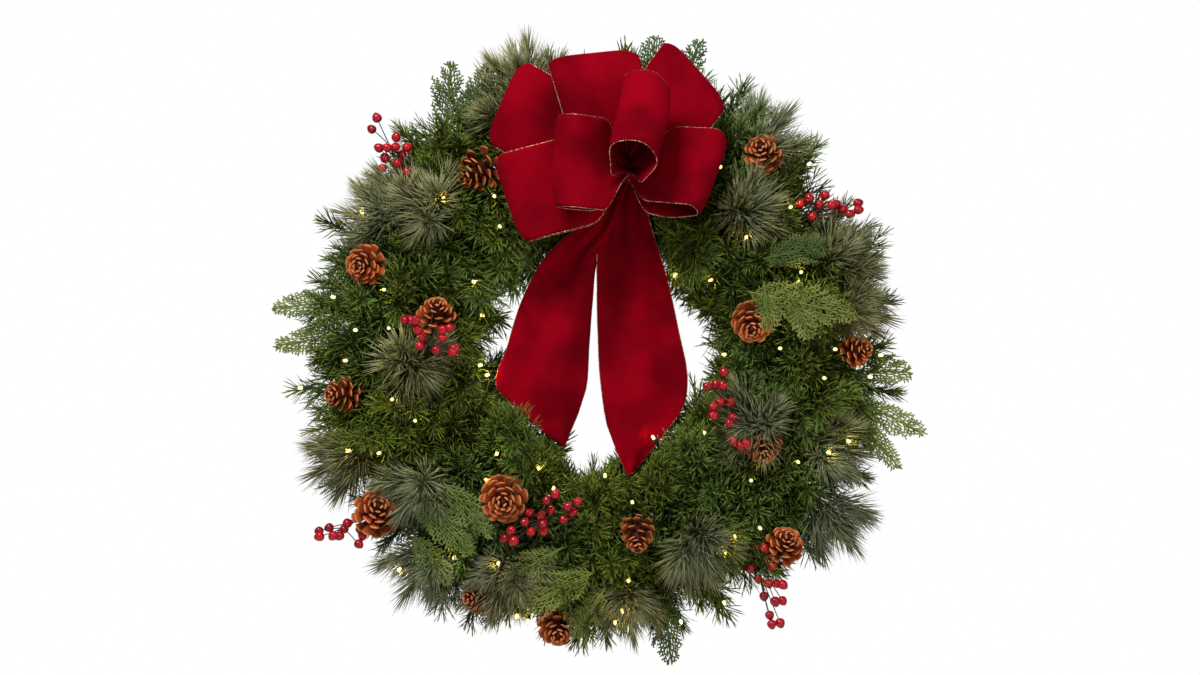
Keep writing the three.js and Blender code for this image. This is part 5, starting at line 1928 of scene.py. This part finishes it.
LOOPS = (
    RibbonLoop(0, (-0.87, 0, 0.5), (0.4, 0, 0.92), 162, 24, -94),
    RibbonLoop(1, (0.586, 0, 0.81), (0.67, 0, -0.745), 141, 24, -94),
    RibbonLoop(2, (-0.29, 0, 0.957), (0.994, 0, 0.109), 136, 24, -131),
    RibbonLoop(3, (1, -0.08, -0.06), (0.32, 0.43, 0.85), 102, 24, -131),
    RibbonLoop(4, (-0.96, 0, -0.25), (-0.32, 0, 0.95), 139, 24, -131),
    RibbonLoop(5, (-0.9, -0.42, 0.08), (0.02, 0, 1), 88, 28, -147),
    RibbonLoop(6, (0.24, -0.56, 0.79), (0.14, 0.58, 0.8), 88, 40, -152),
)


@dataclass
class RibbonTail(Ribbon):
    """One tail of the bow, which hangs over the opening."""

    pairs: tuple[tuple[float, float, float, float], ...]
    rows: int = 120
    across_steps: int = 30
    crown: float = 7.0
    fold: float = 4.0
    wave: float = 1.4
    gather: float = 5.0
    phase_step: ClassVar[float] = 2.1

    def edges(self) -> tuple[Array, Array]:
        """The two edges on the face, smooth down to the slanted cut.

        Returns:
            The left and the right edge, (k, 2) each.
        """
        knots = vector(self.pairs)
        middle = (knots[:, :2] + knots[:, 2:]) / 2
        along = np.concatenate([[0], np.cumsum(np.linalg.norm(np.diff(middle, axis=0), axis=1))])
        places = np.linspace(0, along[-1], self.rows)
        slopes = np.gradient(knots, along, axis=0)
        which = np.clip(np.searchsorted(along, places, side="right") - 1, 0, len(along) - 2)
        span = (along[which + 1] - along[which])[:, None]
        t = (places - along[which])[:, None] / span
        start, end = knots[which], knots[which + 1]
        first, last = slopes[which] * span, slopes[which + 1] * span
        curve = (2 * t**3 - 3 * t**2 + 1) * start + (t**3 - 2 * t**2 + t) * first
        curve = curve + (3 * t**2 - 2 * t**3) * end + (t**3 - t**2) * last
        line = np.where((places < along[-3])[:, None], curve, start + (end - start) * t)
        return line[:, :2], line[:, 2:]

    def sheet(self) -> Array:
        """The tail's middle surface.

        Returns:
            Points (k, m, 3), along and across the ribbon.
        """
        left, right = self.edges()
        part = np.linspace(0, 1, self.across_steps)[None]
        face = left[:, None] * (1 - part[..., None]) + right[:, None] * part[..., None]
        down = np.linspace(0, 1, self.rows)[:, None]
        width = np.linalg.norm(right - left, axis=1)[:, None] / RIBBON_WIDTH
        phase = self.number * self.phase_step
        fold = self.fold * (2 - down) * np.sin(part * 9.0 + down * 2.4 + phase)
        fold = fold * np.clip(width, 0, 1)
        fold = fold + self.wave * np.sin(down * 19 + phase) * (2 * abs(part - 0.5)) ** 3
        gathers = np.cos(part * TURN * 2.5 + phase) * (1 - np.clip(down * 1.7, 0, 1)) ** 1.5
        raised = self.crown * np.sin(math.pi * part) + fold + self.gather * gathers
        return np.stack([face[..., 0], tail_depth(face[..., 1]) - raised, face[..., 1]], axis=-1)

    def build(self, knot: bpy.types.Object) -> None:
        """Makes the tail and its gilt edges."""
        self.lay(f"bow_tail_{self.number + 1}", "bow_tails", "hung", None, knot)


@dataclass
class BowKnot:
    """The gathered middle of the bow, with a band of ribbon pulled round it."""

    radius: float = 15.0
    half_long: float = 36.0
    pleats: int = 9
    steps: int = 36

    def build(self) -> bpy.types.Object:
        """Makes the knot's piece.

        Returns:
            The piece.
        """
        stock = Stock()
        stops = np.linspace(-0.97, 0.97, self.steps)[:, None]
        turn = np.arange(72) / 72 * TURN
        pleat = 1 + 0.1 * np.cos(turn * self.pleats + 2.2 * np.sin(3 * stops))
        size = (np.sqrt(1 - stops**2) * self.radius * pleat)[None]
        line = (KNOT - BACKWARD * stops * self.half_long)[None]
        axes = (np.array([1.0, 0, 0]), np.array([0, 0, 1.0]))
        shade = shades(np.linspace(0, 1, self.steps), 0.5)
        stock.sections(line, axes, size * np.cos(turn), size * np.sin(turn), shade)
        piece = stock.piece("bow_knot", Look.VELVET, "velvet")
        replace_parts(piece, "bow_loops")
        return piece


# --- Stage ---


@dataclass
class Studio:
    """Camera, floor and soft light."""

    photo_width: int = 1200
    photo_height: int = 675
    photo_middle: tuple[float, float] = (597.0, 350.0)
    scale: float = 1.15
    stand_off: float = 60.0
    lens: float = 85.0
    sensor: float = 36.0
    floor_drop: float = 0.62
    floor_radius: float = 2.4
    floor_tone: Colour = (0.82, 0.82, 0.82)
    surround: Colour = (0.19, 0.19, 0.2)

    def camera(self) -> None:
        """Sets the camera straight in front, framed as the photograph."""
        data = bpy.data.cameras.new("camera")
        data.lens = self.lens
        data.sensor_width = self.sensor
        camera = add_object("camera", data)
        distance = self.photo_width * self.scale * self.lens / self.sensor
        x = (self.photo_width / 2 - self.photo_middle[0]) * self.scale
        z = (self.photo_middle[1] - self.photo_height / 2) * self.scale + MIDDLE_Z
        camera.location = (x * MM, -(distance + self.stand_off) * MM, z * MM)
        camera.rotation_euler = (math.pi / 2, 0, 0)
        bpy.context.scene.camera = camera

    def floor(self) -> None:
        """Lays a plain pale floor below the wreath."""
        turns = np.linspace(0, TURN, 96, endpoint=False)
        height = CAD_BOX[0][2] - self.floor_drop
        rim = [(math.cos(a) * self.floor_radius, math.sin(a) * self.floor_radius) for a in turns]
        mesh = bpy.data.meshes.new("floor")
        mesh.from_pydata([(x, y, height) for x, y in rim], [], [list(range(len(rim)))])
        surface = Surface("floor")
        surface.set(Base_Color=self.floor_tone, Roughness=0.8)
        mesh.materials.append(surface.material)
        add_object("floor", mesh)

    def lamp(self, name: str, place: Place, size: float, power: float) -> None:
        """Adds a soft box aimed at the wreath.

        Args:
            name: Its name.
            place: Where it stands, in metres from the wreath's middle.
            size: The side of the box in metres.
            power: Its power in watts.
        """
        data = bpy.data.lights.new(name, "AREA")
        data.size = size
        data.energy = power
        light = add_object(name, data)
        light.location = (place[0], place[1], place[2] + MIDDLE_Z * MM)
        aim = light.location.copy()
        aim.z -= MIDDLE_Z * MM
        light.rotation_euler = aim.to_track_quat("Z", "Y").to_euler()

    def light(self) -> None:
        """Sets the soft boxes and a surround that is white to the eye."""
        self.lamp("key", (-0.9, -2.0, 2.1), 1.0, 86.0)
        self.lamp("fill", (1.9, -2.3, 0.5), 1.4, 20.0)
        self.lamp("back", (0.4, 2.2, 1.6), 1.6, 16.0)
        world = bpy.data.worlds.new("surround")
        world.use_nodes = True
        graph = Graph(world.node_tree)
        seen = graph.add("ShaderNodeLightPath").outputs["Is Camera Ray"]
        colour = graph.mix(seen, self.surround, (1.0, 1.0, 1.0))
        graph.feed(world.node_tree.nodes["Background"], {"Color": colour})
        bpy.context.scene.world = world
        bpy.context.scene.view_settings.view_transform = "Standard"

    def build(self) -> None:
        """Sets the whole stage."""
        self.camera()
        self.floor()
        self.light()


def make_room() -> Room:
    """The room for sprigs between the cones, the berries and the pine tufts.

    Returns:
        The room.
    """
    cones = [(vector(middle), width * 0.52) for middle, _, width, _ in CONES]
    berries = [
        (vector([x, depth, z]), BERRY_RADIUS) for _, depth, fruit in BERRIES for x, z in fruit
    ]
    return Room(cones + berries, [vector(tip) for tips, _ in PINES for tip in tips])


def build_greens() -> None:
    """Makes the fir sectors, pine sprays and cedar fronds."""
    room = make_room()
    for number in range(SECTORS):
        FirSector(number, room).build()
    for number, (tips, needle) in enumerate(PINES):
        PineSpray(number, tips, needle).build()
    for number, (blades, blue) in enumerate(CEDARS):
        CedarFrond(number, blades, blue).build()


def build_bow() -> None:
    """Makes the knot, the loops, the tails and the tie."""
    knot = BowKnot().build()
    tails = [RibbonTail(number, pairs) for number, pairs in enumerate(TAILS)]
    for ribbon in (*LOOPS, *tails):
        ribbon.build(knot)
    BowTie().build()


def main() -> None:
    """Builds the wreath in order."""
    logging.basicConfig(level=logging.INFO, format="%(name)s: %(message)s")
    Studio().build()
    WireFrame().build()
    LightString().build()
    build_greens()
    for number, cone in enumerate(CONES):
        PineCone(number, *cone).build()
    for number, spray in enumerate(BERRIES):
        BerrySpray(number, *spray).build()
    build_bow()


if __name__ == "__main__":
    main()
